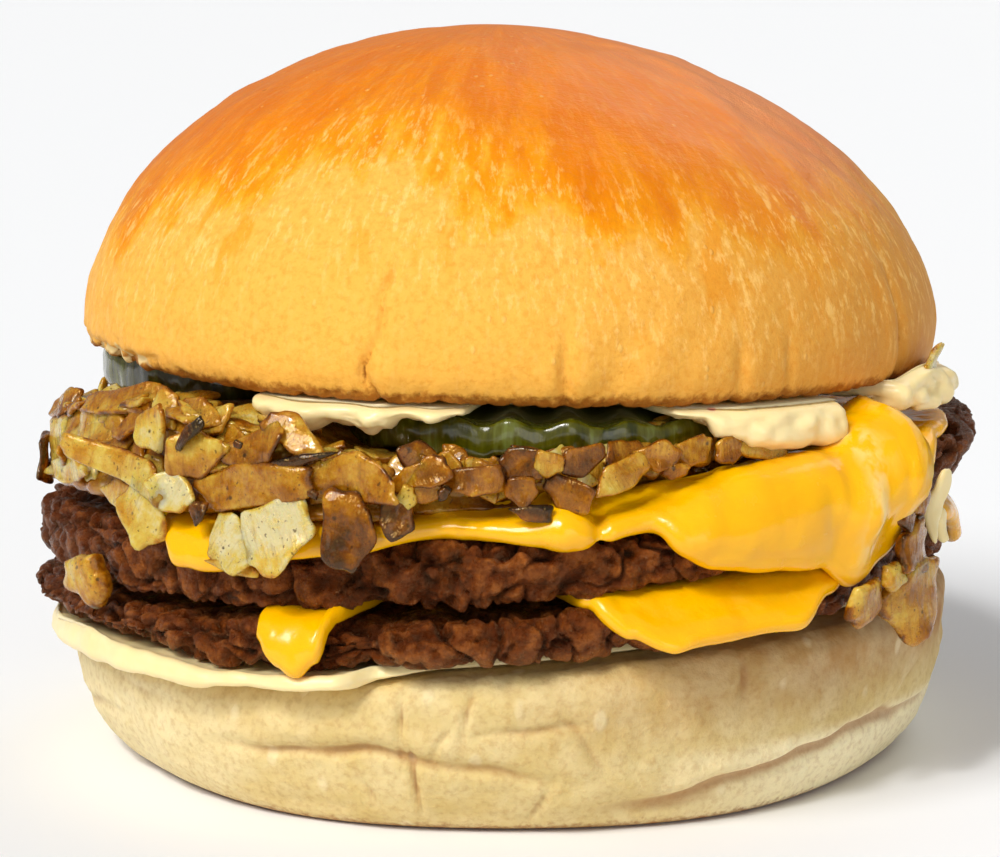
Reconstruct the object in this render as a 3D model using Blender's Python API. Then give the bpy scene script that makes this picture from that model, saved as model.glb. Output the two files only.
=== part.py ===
"""A double cheeseburger, modelled as one solid for each layer or loose piece.

The burger stands on Z = 0 with its front towards -Y. An azimuth is measured in degrees from the front
towards +X. Sizes below are in millimetres, and new_solid turns them into metres.
"""

import math

import bmesh
import bpy
import numpy as np
from mathutils import Vector, noise

MILLIMETRE = 0.001
GAP = 0.3
RIM_GAP = 0.6

# Sides of every turned layer, which lie closer together at the front
SEGMENTS = 60
FRONT_CROWDING = 0.3
FACE_RINGS = (24.0, 44.0)

# Heights of the layers: a height at the axis, a slope along X, and a curl of the right half
HEEL_TOP = (19.4, 0.085, -0.0008)
LOWER_PATTY_TOP = (25.8, 0.07, 0.0)
UPPER_PATTY_TOP = (34.3, 0.045, 0.0014)
CROWN_FLOOR = (48.7, -0.022, 0.0)
HEEL_WIDEST = (15.5, 0.062, 0.0)

# Bun
HEEL_RADIUS = 55.9
HEEL_POWERS = (2.32, 1.85)
HEEL_FLANK_TURNS = (0.0, 0.3, 0.6, 0.9, 1.2)
# Rounding of the heel's cut edge: how far in from its flank, and how far under its top
HEEL_SHOULDER = ((0.9, 1.0), (2.8, 0.0))
CROWN_RADIUS = 54.0
CROWN_CUT_RADIUS = 52.8
# Rounding of the crown's cut edge: how far out from the cut radius, and how far over the cut
CROWN_BEAD = ((-1.0, 0.0), (0.0, 0.6), (0.9, 2.2))
CROWN_WIDEST = 4.0
CROWN_HEIGHT = 40.6
CROWN_POWERS = (1.944, 1.819)
CROWN_LEAN = 1.6
CROWN_TILT = 0.022
CROWN_RINGS = 9

# Patties
PATTY_CORNER = 2.4
PATTY_CRAG = 1.3
PATTY_CRAG_WIDTH = 9.0
LOWER_PATTY_SEED = 3.0
UPPER_PATTY_SEED = 11.0
SEED_STEP = 1.7
# Share of an undercut, and of a raised under side, that is left at half height
SIDE_RECESS = 0.6
SIDE_LIFT = 0.4

# Cheese
CHEESE_THICKNESS = 1.6
UPPER_CHEESE_THICKNESS = 2.0
# Distances from the axis over which the gap widens and a fold rises
RIM_GAP_ZONE = (44.0, 50.0)
FOLD_ZONE = (46.0, 52.0)
# Share of a fold's height at each ring of a slice, from its hanging end to its middle
FOLD_TAPER = (0.0, 0.25, 0.45, 1.0, 1.0, 1.0, 1.0)
# The least distance between the rings of a slice, and how far its round hem stands out
RING_STEP = 0.5
HEM_SHARE = 0.3

# Sauce
SAUCE_THICKNESS = 0.8
# Rim radii between which the lower sauce turns into a lip, and how far the lip sags
LIP_ZONE = (54.0, 57.0)
LIP_SAG = 0.3
# Distances of the lip's rings from its rim, or from the heel's or the patty's rim where that is nearer
LIP_SHOULDER = (1.6, 2.9)
LIP_FOOT = (1.2, 0.4)
LIP_UNDER = 0.7
LIP_BULGE = 0.4
LIP_TOP = (0.4, 1.0)
LIP_BACK = 1.4
# A drip of the upper sauce, from its root round its tip: how far inside its rim, at which share of its depth
DRIP_SECTION = ((3.0, 0.0), (2.5, 0.6), (1.4, 1.0), (0.3, 0.7))
DRIP_TOP = 0.6
DRIP_ROOT = 1.4

# Pickles, as crinkle-cut slices: name, middle and half of the length and breadth
PICKLES = (
    ("pickle_front", (3.3, -35.0), (23.0, 17.0)),
    ("pickle_left", (-35.0, 11.0), (18.5, 23.0)),
    ("pickle_back", (10.0, 28.0), (23.0, 17.0)),
)
PICKLE_SIDES = 40
PICKLE_BOTTOM = 42.9
PICKLE_FACE = 0.96
CRINKLE_PITCH = 6.5
CRINKLE_DEPTH = 0.45

# Onions
ONION_FLOOR = 42.1
ONION_GAP = 0.1
# Side of the heap: how far inside its rim, at which share of its height
HEAP_SIDE = ((1.0, 0.02), (0.0, 0.4), (1.2, 0.85))
HEAP_CREST = 6.0
# How far inside the rim the heap's face rings stay
HEAP_FACE = (5.0, 3.0)
PETAL_SIDES = 6
PETAL_THICKNESS = 1.7
# How far the outline of a piece swells and shrinks, twice and three times round it
PETAL_WAVES = (0.16, 0.1)
PETAL_BULGE = 0.65
SHARP_ANGLE = math.radians(35.0)

# Rim radius of a layer, or another size, at each (azimuth, value)
HEEL_BASE_RIM = ((-90, 46.8), (-62, 46.6), (-28, 49.4), (0, 48.2), (28, 49.4), (62, 47.0), (90, 47.8),
                 (180, 47.5))
LOWER_PATTY_RIM = ((-100, 59.4), (-85, 60.8), (-65, 59.3), (-40, 58.2), (0, 57.8), (12, 56.5), (50, 56.0),
                   (75, 55.0), (98, 55.0), (115, 56.5), (150, 58.0), (200, 58.5), (235, 57.5))
LOWER_PATTY_UNDERCUT = ((-105, 0.5), (-85, 3.2), (-62, 0.6), (0, 0.0), (180, 0.0))
LOWER_PATTY_LIFT = ((-105, 0.3), (-80, 0.9), (-62, 1.4), (-32, 0.0), (0, 0.0), (200, 0.0))
UPPER_PATTY_RIM = ((-100, 58.6), (-85, 59.4), (-60, 58.6), (-20, 57.8), (18, 57.5), (30, 56.8), (55, 56.8),
                   (75, 58.8), (98, 60.0), (125, 58.5), (180, 57.5), (225, 58.5))
UPPER_PATTY_UNDERCUT = ((-90, 0.0), (0, 0.0), (55, 0.0), (75, 4.2), (105, 4.8), (125, 0.5), (180, 0.0))
LOWER_CHEESE_REACH = (
    (-90, -4.0), (-60, -6.0), (-40, -6.0), (-35.2, -3.0), (-30.5, 1.5), (-26, 5.8), (-21.4, 5.4), (-17, 1.5),
    (-12.7, -3.0), (-8, -6.0), (4, -6.0), (8.4, 0.0), (12.7, 4.6), (17, 7.4), (21.4, 6.6), (32, 7.0),
    (38, 3.6), (46, -1.0), (64, -3.0), (78, 2.0), (93, 8.0), (104, 3.0), (118, -3.0), (150, 4.0),
    (175, -3.0), (205, 4.0), (235, -3.0),
)
LOWER_CHEESE_STEEPNESS = ((-50, 88.0), (-5, 88.0), (12, 45.0), (45, 45.0), (70, 75.0), (180, 70.0),
                          (250, 80.0))
LEVEL = ((0, 0.0), (180, 0.0))
UPRIGHT = ((0, 88.0), (180, 88.0))
UPPER_CHEESE_REACH = (
    (-90, -7.0), (-62, -6.0), (-50, -3.0), (-45, 1.5), (-40, 3.2), (-34, 3.2), (-19, 1.6), (-7, -0.8),
    (3, 0.6), (9, 1.3), (15, 0.4), (22, 4.9), (29, 6.8), (36, 8.0), (41, 11.2), (46, 9.4), (54, 3.0),
    (64, -1.0), (90, -7.0), (120, -5.0), (135, 1.0), (150, 5.5), (167, 2.0), (182, -2.0), (204, 5.0),
    (228, 0.0), (250, -6.0),
)
UPPER_CHEESE_FOLD = ((-20, 0.0), (6, 0.4), (20, 2.2), (33, 2.6), (42, 1.7), (51, 4.4), (58, 3.8), (70, 1.0),
                     (90, 0.0), (180, 0.0))
LOWER_SAUCE_RIM = (
    (-90, 57.4), (-65, 58.6), (-45, 59.4), (-31, 58.8), (-24, 58.4), (-19, 58.8), (-14, 56.0), (-6, 53.0),
    (20, 51.0), (60, 51.0), (100, 52.0), (130, 57.5), (160, 58.5), (190, 54.0), (225, 57.5),
)
UPPER_SAUCE_RIM = (
    (-60, 48.5), (-40, 50.0), (-34, 54.2), (-16, 54.8), (-5, 50.0), (14, 49.5), (22, 54.4), (43, 55.6),
    (49, 51.0), (58, 56.0), (78, 58.0), (90, 50.0), (140, 49.0), (152, 54.0), (172, 54.6), (184, 49.5),
    (215, 49.5), (232, 54.0), (245, 49.0), (270, 48.5),
)
UPPER_SAUCE_CREEP = ((50, 0.0), (60, 1.0), (74, 1.2), (84, 0.0), (270, 0.0))
UPPER_SAUCE_DRIP = (
    (-60, 0.1), (-36, 0.2), (-30, 3.2), (-24, 2.2), (-15, 3.4), (-8.4, 0.0), (17, 0.0), (24, 2.2), (33, 4.2),
    (43, 4.0), (49, 0.3), (60, 0.4), (72, 2.6), (84, 2.2), (92, 0.2), (150, 0.4), (168, 3.0), (190, 0.2),
    (200, 0.0), (250, 0.0),
)
ONION_RIM = ((-90, 58.4), (-72, 59.8), (-22, 59.4), (-8, 57.4), (12, 55.0), (24, 51.0), (34, 44.0),
             (60, 41.0), (110, 41.0), (135, 50.0), (180, 54.0), (215, 54.0), (245, 53.0))
ONION_TOP = ((-95, 42.1), (-80, 42.8), (-66, 44.8), (-50, 46.8), (-40, 47.0), (-28, 46.2), (-20, 43.4),
             (-14, 42.1), (90, 42.1), (180, 42.1), (250, 42.1))

# Onion pieces at the front: azimuth, radius, height, width, length, roll and lean
FRONT_ONIONS = (
    (-75, 60.6, 38.6, 8.4, 7.4, 20, 0),
    (-65, 60.0, 39.4, 10.0, 7.6, -15, 8),
    (-57, 58.8, 43.6, 13.0, 6.6, 8, 28),
    (-50, 60.2, 39.6, 16.0, 4.6, -22, 5),
    (-44, 59.2, 44.4, 5.0, 6.4, 20, 12),
    (-43, 60.4, 35.4, 8.6, 6.4, -25, 8),
    (-38, 59.4, 42.0, 8.0, 5.4, -10, 5),
    (-38, 60.3, 38.4, 6.0, 4.8, -30, 0),
    (-32, 60.2, 33.8, 6.4, 7.6, -35, 10),
    (-30, 58.6, 43.6, 10.4, 5.0, 10, 24),
    (-27, 59.8, 39.6, 16.0, 5.6, 10, 4),
    (-26, 60.2, 35.0, 9.2, 9.4, 28, 10),
    (-18, 59.0, 41.2, 11.0, 6.2, -18, 10),
    (-17, 59.8, 36.4, 6.4, 8.8, 12, 8),
    (-12, 59.0, 37.8, 5.2, 7.4, -35, 6),
    (-8, 57.6, 40.8, 6.4, 5.0, 10, 5),
    (2, 56.6, 42.0, 7.0, 4.2, 0, 5),
    (2, 57.2, 39.0, 5.6, 4.4, 15, 4),
    (8, 56.4, 40.4, 5.4, 4.2, -15, 4),
    (13, 55.6, 41.0, 8.0, 4.6, 28, 5),
    (22, 52.2, 42.0, 6.0, 4.0, 0, 5),
    (29, 49.6, 42.2, 6.4, 4.0, -25, 15),
)
# Pieces round the back: azimuths, how far past the rim and how high, least width and length, roll and lean
BACK_ONION_AZIMUTHS = range(145, 256, 15)
BACK_ONION_RISE = (0.2, 39.6)
BACK_ONION_SIZE = (8.5, 5.6)
BACK_ONION_ROLL = 25
BACK_ONION_LEAN = 5

# Onion pieces that slid down the right side, as azimuth, radius, height, width, length, roll and lean
RIGHT_ONIONS = (
    (58, 60.4, 36.0, 4.6, 5.0, 0, 0),
    (53, 60.4, 33.6, 6.0, 6.0, 20, 0),
    (50, 60.8, 30.0, 7.0, 7.0, -15, 0),
    (52, 60.6, 24.4, 9.0, 11.0, 20, 0),
    (47, 60.0, 28.4, 6.0, 6.0, 0, 0),
    (43, 60.2, 26.2, 7.0, 7.2, -20, 0),
)
LEFT_ONION = (-55, 60.4, 25.4, 9.0, 6.6, 10, 0)
SLIPPED_THICKNESS = 2.6
LEFT_THICKNESS = 3.4


def around(azimuth, points):
    """The smooth value at an azimuth, between (azimuth, value) points that close on themselves."""
    angles = np.array([point[0] for point in points] + [points[0][0] + 360.0])
    values = np.array([point[1] for point in points] + [points[0][1]])
    turned = (azimuth - angles[0]) % 360.0 + angles[0]
    before = np.clip(np.searchsorted(angles, turned, side="right") - 1, 0, len(points) - 1)
    share = (turned - angles[before]) / (angles[before + 1] - angles[before])
    share = share * share * (3.0 - 2.0 * share)
    return values[before] + (values[before + 1] - values[before]) * share


def smooth_step(low, high, value):
    """Rises smoothly from 0 at low to 1 at high."""
    share = np.clip((value - low) / (high - low), 0.0, 1.0)
    return share * share * (3.0 - 2.0 * share)


def segment_azimuths():
    """The azimuths of the sides, crowded towards the front."""
    turn = np.arange(SEGMENTS) * 2.0 * math.pi / SEGMENTS
    return np.degrees(turn - FRONT_CROWDING * np.sin(turn))


AZIMUTHS = segment_azimuths()
ACROSS = np.sin(np.radians(AZIMUTHS))
ALONG = -np.cos(np.radians(AZIMUTHS))


def tilted(layer):
    """A surface as a function of x: the height at the axis, plus slope times x, plus curl times x squared."""
    middle, slope, curl = layer
    return lambda x: middle + slope * x + curl * np.maximum(x, 0.0) ** 2


def shifted(surface, offset):
    """A surface raised by an offset, which may differ round the layer."""
    return lambda x: surface(x) + offset


heel_top = tilted(HEEL_TOP)
lower_patty_bottom = shifted(heel_top, SAUCE_THICKNESS + 2.0 * GAP)
lower_patty_top = tilted(LOWER_PATTY_TOP)
upper_patty_bottom = shifted(lower_patty_top, CHEESE_THICKNESS + 2.0 * GAP)
upper_patty_top = tilted(UPPER_PATTY_TOP)
crown_floor = tilted(CROWN_FLOOR)


def remove_everything():
    """Empty the scene."""
    for thing in list(bpy.data.objects):
        bpy.data.objects.remove(thing, do_unlink=True)


def material(name, colour, roughness):
    """A plain material for one kind of food."""
    made = bpy.data.materials.new(name)
    made.use_nodes = True
    shader = made.node_tree.nodes["Principled BSDF"]
    shader.inputs["Base Color"].default_value = (*colour, 1.0)
    shader.inputs["Roughness"].default_value = roughness
    shader.inputs["Metallic"].default_value = 0.0
    return made


def new_solid(name, points, faces, look=None):
    """An object from points in millimetres, with its faces turned outwards and shaded smooth."""
    mesh = bpy.data.meshes.new(name)
    mesh.from_pydata([tuple(point) for point in np.asarray(points) * MILLIMETRE], [], faces)
    shell = bmesh.new()
    shell.from_mesh(mesh)
    bmesh.ops.recalc_face_normals(shell, faces=shell.faces)
    shell.to_mesh(mesh)
    shell.free()
    mesh.shade_smooth()
    thing = bpy.data.objects.new(name, mesh)
    if look:
        mesh.materials.append(look)
    bpy.context.scene.collection.objects.link(thing)
    return thing


def loft(name, rings, look=None):
    """A closed solid through rings of points, whose first and last rings are single points."""
    inner = rings[1:-1]
    count = len(inner[0])
    points = [rings[0][0]] + [point for ring in inner for point in ring] + [rings[-1][0]]
    last = len(points) - 1
    faces = []
    for side in range(count):
        after = (side + 1) % count
        faces.append((0, 1 + after, 1 + side))
        faces.append((last, last - count + side, last - count + after))
        for row in range(len(inner) - 1):
            start = 1 + row * count
            faces.append((start + side, start + after, start + count + after, start + count + side))
    return new_solid(name, points, faces, look)


def ring(radius, height):
    """Points at a radius round the axis. The height is a function of x and of the azimuth's place."""
    radius = np.broadcast_to(np.asarray(radius, dtype=float), ACROSS.shape)
    x = radius * ACROSS
    return np.stack([x, radius * ALONG, height(x)], axis=-1)


def lumps(seed, size):
    """A rough value from 0 to 1 at each azimuth, with lumps of the given width at the rim."""
    radius = HEEL_RADIUS / size
    places = zip(radius * ACROSS, radius * ALONG)
    return np.array([0.5 + 0.5 * noise.noise(Vector((x, y, seed))) for x, y in places])


def heel(look):
    """The lower bun: a flat base, a bulging flank and a cut top."""
    widest = tilted(HEEL_WIDEST)
    base = around(AZIMUTHS, HEEL_BASE_RIM)
    rings = [ring(0.0, lambda x: 0.0 * x)]
    for turn in HEEL_FLANK_TURNS:
        bulge = math.sin(turn) ** (2.0 / HEEL_POWERS[0])
        rise = 1.0 - math.cos(turn) ** (2.0 / HEEL_POWERS[1])
        radius = base + (HEEL_RADIUS - base) * bulge
        rings.append(ring(radius, lambda x, rise=rise: widest(x) * rise))
    rings.append(ring(HEEL_RADIUS, widest))
    for inset, depth in HEEL_SHOULDER:
        rings.append(ring(HEEL_RADIUS - inset, shifted(heel_top, -depth)))
    rings.append(ring(FACE_RINGS[1], heel_top))
    rings.append(ring(0.0, heel_top))
    return loft("heel", rings, look)


def crown(look):
    """The upper bun: a flat cut floor under a dome that leans a little to the left."""
    rings = [ring(0.0, crown_floor)]
    for outset, height in CROWN_BEAD:
        rings.append(ring(CROWN_CUT_RADIUS + outset, shifted(crown_floor, height)))
    for step in range(CROWN_RINGS + 1):
        turn = 0.5 * math.pi * step / CROWN_RINGS
        radius = CROWN_RADIUS * max(math.cos(turn), 0.0) ** (2.0 / CROWN_POWERS[0])
        x = radius * ACROSS - CROWN_LEAN * math.sin(turn) ** 2
        rise = CROWN_WIDEST + CROWN_TILT * x * (1.0 - math.sin(turn))
        rise = rise + (CROWN_HEIGHT - CROWN_WIDEST) * math.sin(turn) ** (2.0 / CROWN_POWERS[1])
        rings.append(np.stack([x, radius * ALONG, crown_floor(x) + rise], axis=-1))
    return loft("crown", rings, look)


def patty(name, rim, undercut, lifting, bottom, top, seed, look):
    """A ground beef patty with round corners, whose rough rim only ever dips inwards from its envelope."""
    edge = around(AZIMUTHS, rim)
    recess = around(AZIMUTHS, undercut)
    lift = around(AZIMUTHS, lifting)
    dips = [PATTY_CRAG * lumps(seed + SEED_STEP * row, PATTY_CRAG_WIDTH) for row in range(3)]
    corner = PATTY_CORNER
    bevel = (1.0 - math.sqrt(0.5)) * corner
    rings = [ring(0.0, bottom), ring(FACE_RINGS[1], bottom)]
    rings.append(ring(edge - corner - recess, shifted(bottom, lift)))
    rings.append(ring(edge - bevel - dips[0] - recess, shifted(bottom, bevel + lift)))
    rings.append(ring(edge - dips[1] - SIDE_RECESS * recess, shifted(bottom, corner + SIDE_LIFT * lift)))
    rings.append(ring(edge - dips[2], shifted(top, -corner)))
    rings.append(ring(edge - bevel - 0.5 * dips[2], shifted(top, -bevel)))
    rings.append(ring(edge - corner, top))
    rings.extend(ring(radius, top) for radius in reversed(FACE_RINGS))
    rings.append(ring(0.0, top))
    return loft(name, rings, look)


def draped(reach, offset, rim, top, steepness):
    """Points of a sheet laid over a round-edged disc, at a distance along it and an offset above it.

    The sheet runs flat to the disc's corner, bends round it until it is as steep as stated, and then
    hangs straight.
    """
    corner = PATTY_CORNER
    flat = rim - corner
    bend = np.radians(steepness)
    turned = np.clip((reach - flat) / corner, 0.0, bend)
    hung = np.maximum(reach - flat - corner * bend, 0.0)
    radius = np.minimum(reach, flat) + (corner + offset) * np.sin(turned) + hung * np.cos(turned)
    drop = corner - (corner + offset) * np.cos(turned) + hung * np.sin(turned)
    x = radius * ACROSS
    return np.stack([x, radius * ALONG, top(x) - drop], axis=-1)


def cheese(name, rim, top, inner_rings, reach, steepness, thickness, fold, look):
    """A melted slice over a patty: it ends inside the rim or hangs over it, and folds thicken it."""
    edge = around(AZIMUTHS, rim)
    flat = edge - PATTY_CORNER
    end = flat + around(AZIMUTHS, reach)
    bend = around(AZIMUTHS, steepness)
    arc = PATTY_CORNER * np.radians(bend)
    swelling = around(AZIMUTHS, fold)
    stops = [0.0 * edge] + [radius + 0.0 * edge for radius in inner_rings]
    stops += [flat, flat + 0.5 * arc, flat + arc, end]
    last = len(stops) - 1
    stops = [np.minimum(stop, end - RING_STEP * (last - place)) for place, stop in enumerate(stops)]
    under = []
    over = []
    for place, stop in enumerate(stops):
        gap = GAP + (RIM_GAP - GAP) * smooth_step(*RIM_GAP_ZONE, stop)
        under.append(draped(stop, gap, edge, top, bend))
        lift = FOLD_TAPER[last - place] * swelling * smooth_step(*FOLD_ZONE, stop)
        over.append(draped(stop, GAP + thickness + lift, edge, top, bend))
    rounded = draped(end + HEM_SHARE * thickness, GAP + 0.5 * thickness, edge, top, bend)
    return loft(name, under + [rounded] + over[::-1], look)


def lower_sauce(look):
    """The sauce on the heel, which bulges out as a lip under the raised patty at the left."""
    edge = around(AZIMUTHS, LOWER_SAUCE_RIM)
    lip = smooth_step(*LIP_ZONE, edge)
    lift = around(AZIMUTHS, LOWER_PATTY_LIFT)
    patty_edge = around(AZIMUTHS, LOWER_PATTY_RIM)
    under = shifted(heel_top, GAP)
    sagging = shifted(under, -LIP_SAG * lip)
    over = shifted(lower_patty_bottom, -GAP)
    raised = shifted(over, lift)
    rings = [ring(0.0, under), ring(FACE_RINGS[1], under)]
    rings.append(ring(np.minimum(edge - LIP_SHOULDER[0], HEEL_RADIUS - LIP_SHOULDER[1]), under))
    rings.append(ring(np.minimum(edge - LIP_FOOT[0], HEEL_RADIUS + LIP_FOOT[1]), sagging))
    rings.append(ring(edge - LIP_UNDER, sagging))
    rings.append(ring(edge, shifted(under, LIP_BULGE + 0.5 * lift)))
    rings.append(ring(np.minimum(edge - LIP_TOP[0], patty_edge + LIP_TOP[1]), raised))
    rings.append(ring(np.minimum(edge - LIP_BACK, patty_edge - PATTY_CORNER), raised))
    rings.append(ring(FACE_RINGS[1], over))
    rings.append(ring(0.0, over))
    return loft("sauce_lower", rings, look)


def upper_sauce(look):
    """The sauce under the crown, with drips that hang outside the pickles."""
    edge = around(AZIMUTHS, UPPER_SAUCE_RIM)
    drip = around(AZIMUTHS, UPPER_SAUCE_DRIP)
    creep = around(AZIMUTHS, UPPER_SAUCE_CREEP)
    over = shifted(crown_floor, -GAP)
    under = shifted(over, -SAUCE_THICKNESS)
    rings = [ring(0.0, under)]
    for inset, share in DRIP_SECTION:
        rings.append(ring(edge - inset, shifted(under, -share * drip)))
    rings.append(ring(edge, shifted(under, creep)))
    rings.append(ring(edge - DRIP_TOP, shifted(over, creep)))
    rings.append(ring(np.minimum(edge - DRIP_ROOT, CROWN_CUT_RADIUS + CROWN_BEAD[0][0]), over))
    rings.append(ring(0.0, over))
    return loft("sauce_upper", rings, look)


def pickle(name, centre, half_size, look):
    """An oval crinkle-cut slice, whose ridges run from front to back, close under the sauce."""
    turn = np.arange(PICKLE_SIDES) * 2.0 * math.pi / PICKLE_SIDES
    bottom = tilted((PICKLE_BOTTOM, 0.0, 0.0))
    top = shifted(crown_floor, -SAUCE_THICKNESS - 2.0 * GAP - CRINKLE_DEPTH)

    def oval(share, height):
        x = centre[0] + share * half_size[0] * np.sin(turn)
        y = centre[1] - share * half_size[1] * np.cos(turn)
        crinkle = CRINKLE_DEPTH * np.cos(2.0 * math.pi * x / CRINKLE_PITCH)
        return np.stack([x, y, height(x) + crinkle], axis=-1)

    rings = [oval(0.0, bottom), oval(PICKLE_FACE, bottom), oval(1.0, lambda x: 0.5 * (bottom(x) + top(x)))]
    rings += [oval(PICKLE_FACE, top), oval(0.0, top)]
    return loft(name, rings, look)


def petal(name, place, thickness):
    """One cut piece of onion: a bowed plate with an uneven outline, facing outwards at its azimuth."""
    azimuth, radius, height, width, length, roll, lean = place
    turn = math.radians(azimuth)
    tilt = math.radians(lean)
    outwards = Vector((math.sin(turn) * math.cos(tilt), -math.cos(turn) * math.cos(tilt), math.sin(tilt)))
    sideways = Vector((math.cos(turn), math.sin(turn), 0.0))
    upwards = outwards.cross(sideways)
    middle = Vector((radius * math.sin(turn), -radius * math.cos(turn), height))
    spin = math.radians(roll)
    points = []
    for side in range(PETAL_SIDES):
        angle = 2.0 * math.pi * side / PETAL_SIDES
        reach = 1.0 + PETAL_WAVES[0] * math.cos(2.0 * angle + azimuth)
        reach += PETAL_WAVES[1] * math.cos(3.0 * angle + height)
        across = 0.5 * width * reach * math.cos(angle)
        along = 0.5 * length * reach * math.sin(angle)
        u = across * math.cos(spin) - along * math.sin(spin)
        v = across * math.sin(spin) + along * math.cos(spin)
        bow = -0.5 * u * u / radius
        for offset in (-0.5 * thickness, 0.5 * thickness):
            points.append(middle + sideways * u + upwards * v + outwards * (bow + offset))
    back = len(points)
    points.append(middle - outwards * 0.5 * thickness)
    points.append(middle + outwards * PETAL_BULGE * thickness)
    faces = []
    for side in range(PETAL_SIDES):
        here = 2 * side
        after = 2 * ((side + 1) % PETAL_SIDES)
        faces.append((here, after, after + 1, here + 1))
        faces.append((here, back, after))
        faces.append((here + 1, after + 1, back + 1))
    return new_solid(name, points, faces)


def back_onions():
    """Places of the pieces round the back, spread by a rule in the form of the onion tables."""
    places = []
    for order, azimuth in enumerate(BACK_ONION_AZIMUTHS):
        odd = order % 2
        third = order % 3
        radius = float(around(np.array(azimuth), ONION_RIM)) + BACK_ONION_RISE[0] + 0.4 * odd
        height = BACK_ONION_RISE[1] + 1.1 * third
        width = BACK_ONION_SIZE[0] + 2.0 * third
        length = BACK_ONION_SIZE[1] + odd
        roll = BACK_ONION_ROLL * (third - 1)
        places.append((azimuth, radius, height, width, length, roll, BACK_ONION_LEAN))
    return places


def onion_core():
    """The heap of onions without its loose outer pieces, on top of the upper cheese."""
    edge = around(AZIMUTHS, ONION_RIM)
    crest = around(AZIMUTHS, ONION_TOP)
    cheese_top = shifted(upper_patty_top, 2.0 * GAP + UPPER_CHEESE_THICKNESS + ONION_GAP)

    def height(share):
        return lambda x: np.minimum(cheese_top(x) + share * (crest - cheese_top(x)), crest)

    inner = [np.minimum(radius, edge - inset) for radius, inset in zip(FACE_RINGS, HEAP_FACE)]
    rings = [ring(0.0, height(0.0))] + [ring(radius, height(0.0)) for radius in inner]
    for inset, share in HEAP_SIDE:
        rings.append(ring(edge - inset, height(share)))
    rings.append(ring(np.maximum(edge - HEAP_CREST, inner[1] - 1.0), height(1.0)))
    rings.append(ring(0.0, lambda x: ONION_FLOOR + 0.0 * x))
    return loft("onion_heap", rings)


def boolean(thing, operation, operand):
    """Apply a Boolean with an object or a collection, and leave the result in the object's mesh."""
    modifier = thing.modifiers.new("boolean", "BOOLEAN")
    modifier.operation = operation
    if isinstance(operand, bpy.types.Collection):
        modifier.operand_type = "COLLECTION"
        modifier.collection = operand
    else:
        modifier.object = operand
    graph = bpy.context.evaluated_depsgraph_get()
    joined = bpy.data.meshes.new_from_object(thing.evaluated_get(graph))
    thing.modifiers.clear()
    thing.data = joined


def grown(thing, distance):
    """A copy of a solid, swollen by a distance all round."""
    shell = bmesh.new()
    shell.from_mesh(thing.data)
    shell.normal_update()
    moved = [vert.co + vert.normal * vert.calc_shell_factor() * distance * MILLIMETRE for vert in shell.verts]
    for vert, place in zip(shell.verts, moved):
        vert.co = place
    mesh = bpy.data.meshes.new("grown")
    shell.to_mesh(mesh)
    shell.free()
    copy = bpy.data.objects.new("grown", mesh)
    bpy.context.scene.collection.objects.link(copy)
    return copy


def keep_largest(thing):
    """Drop every loose scrap, and keep the largest body."""
    shell = bmesh.new()
    shell.from_mesh(thing.data)
    bmesh.ops.triangulate(shell, faces=shell.faces)
    left = set(shell.verts)
    bodies = []
    while left:
        body = {left.pop()}
        fresh = set(body)
        while fresh:
            fresh = {edge.other_vert(vert) for vert in fresh for edge in vert.link_edges} - body
            body |= fresh
        left -= body
        bodies.append(body)
    largest = max(bodies, key=len)
    scraps = [vert for body in bodies if body is not largest for vert in body]
    bmesh.ops.delete(shell, geom=scraps, context="VERTS")
    shell.to_mesh(thing.data)
    shell.free()


def fuse(thing, pieces, look):
    """Join loose pieces onto a solid with one union, and remove them."""
    group = bpy.data.collections.new("pieces")
    bpy.context.scene.collection.children.link(group)
    for piece in pieces:
        group.objects.link(piece)
    boolean(thing, "UNION", group)
    for piece in pieces:
        bpy.data.objects.remove(piece, do_unlink=True)
    bpy.data.collections.remove(group)
    thing.data.materials.clear()
    thing.data.materials.append(look)


def clear_of(thing, neighbours):
    """Cut a solid back from its neighbours, so that the gap stays open."""
    for neighbour in neighbours:
        swollen = grown(neighbour, GAP)
        boolean(thing, "DIFFERENCE", swollen)
        bpy.data.objects.remove(swollen, do_unlink=True)
    keep_largest(thing)
    thing.data.shade_smooth()
    thing.data.set_sharp_from_angle(angle=SHARP_ANGLE)


def onion_heap(neighbours, look):
    """The fried onions on the upper slice: their core with the loose pieces fused on."""
    thing = onion_core()
    places = list(FRONT_ONIONS) + back_onions()
    pieces = [petal(f"piece_{order}", place, PETAL_THICKNESS) for order, place in enumerate(places)]
    fuse(thing, pieces, look)
    clear_of(thing, neighbours)
    return thing


def slipped_onions(neighbours, look):
    """The onions that slid down over the right side of the heel."""
    pieces = [petal(f"slip_{order}", place, SLIPPED_THICKNESS) for order, place in enumerate(RIGHT_ONIONS)]
    thing = pieces[0]
    thing.name = "onion_right"
    fuse(thing, pieces[1:], look)
    clear_of(thing, neighbours)
    return thing


def onion_drop(neighbours, look):
    """The piece of onion caught between the patties at the left."""
    thing = petal("onion_left", LEFT_ONION, LEFT_THICKNESS)
    thing.data.materials.append(look)
    clear_of(thing, neighbours)
    return thing


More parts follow.
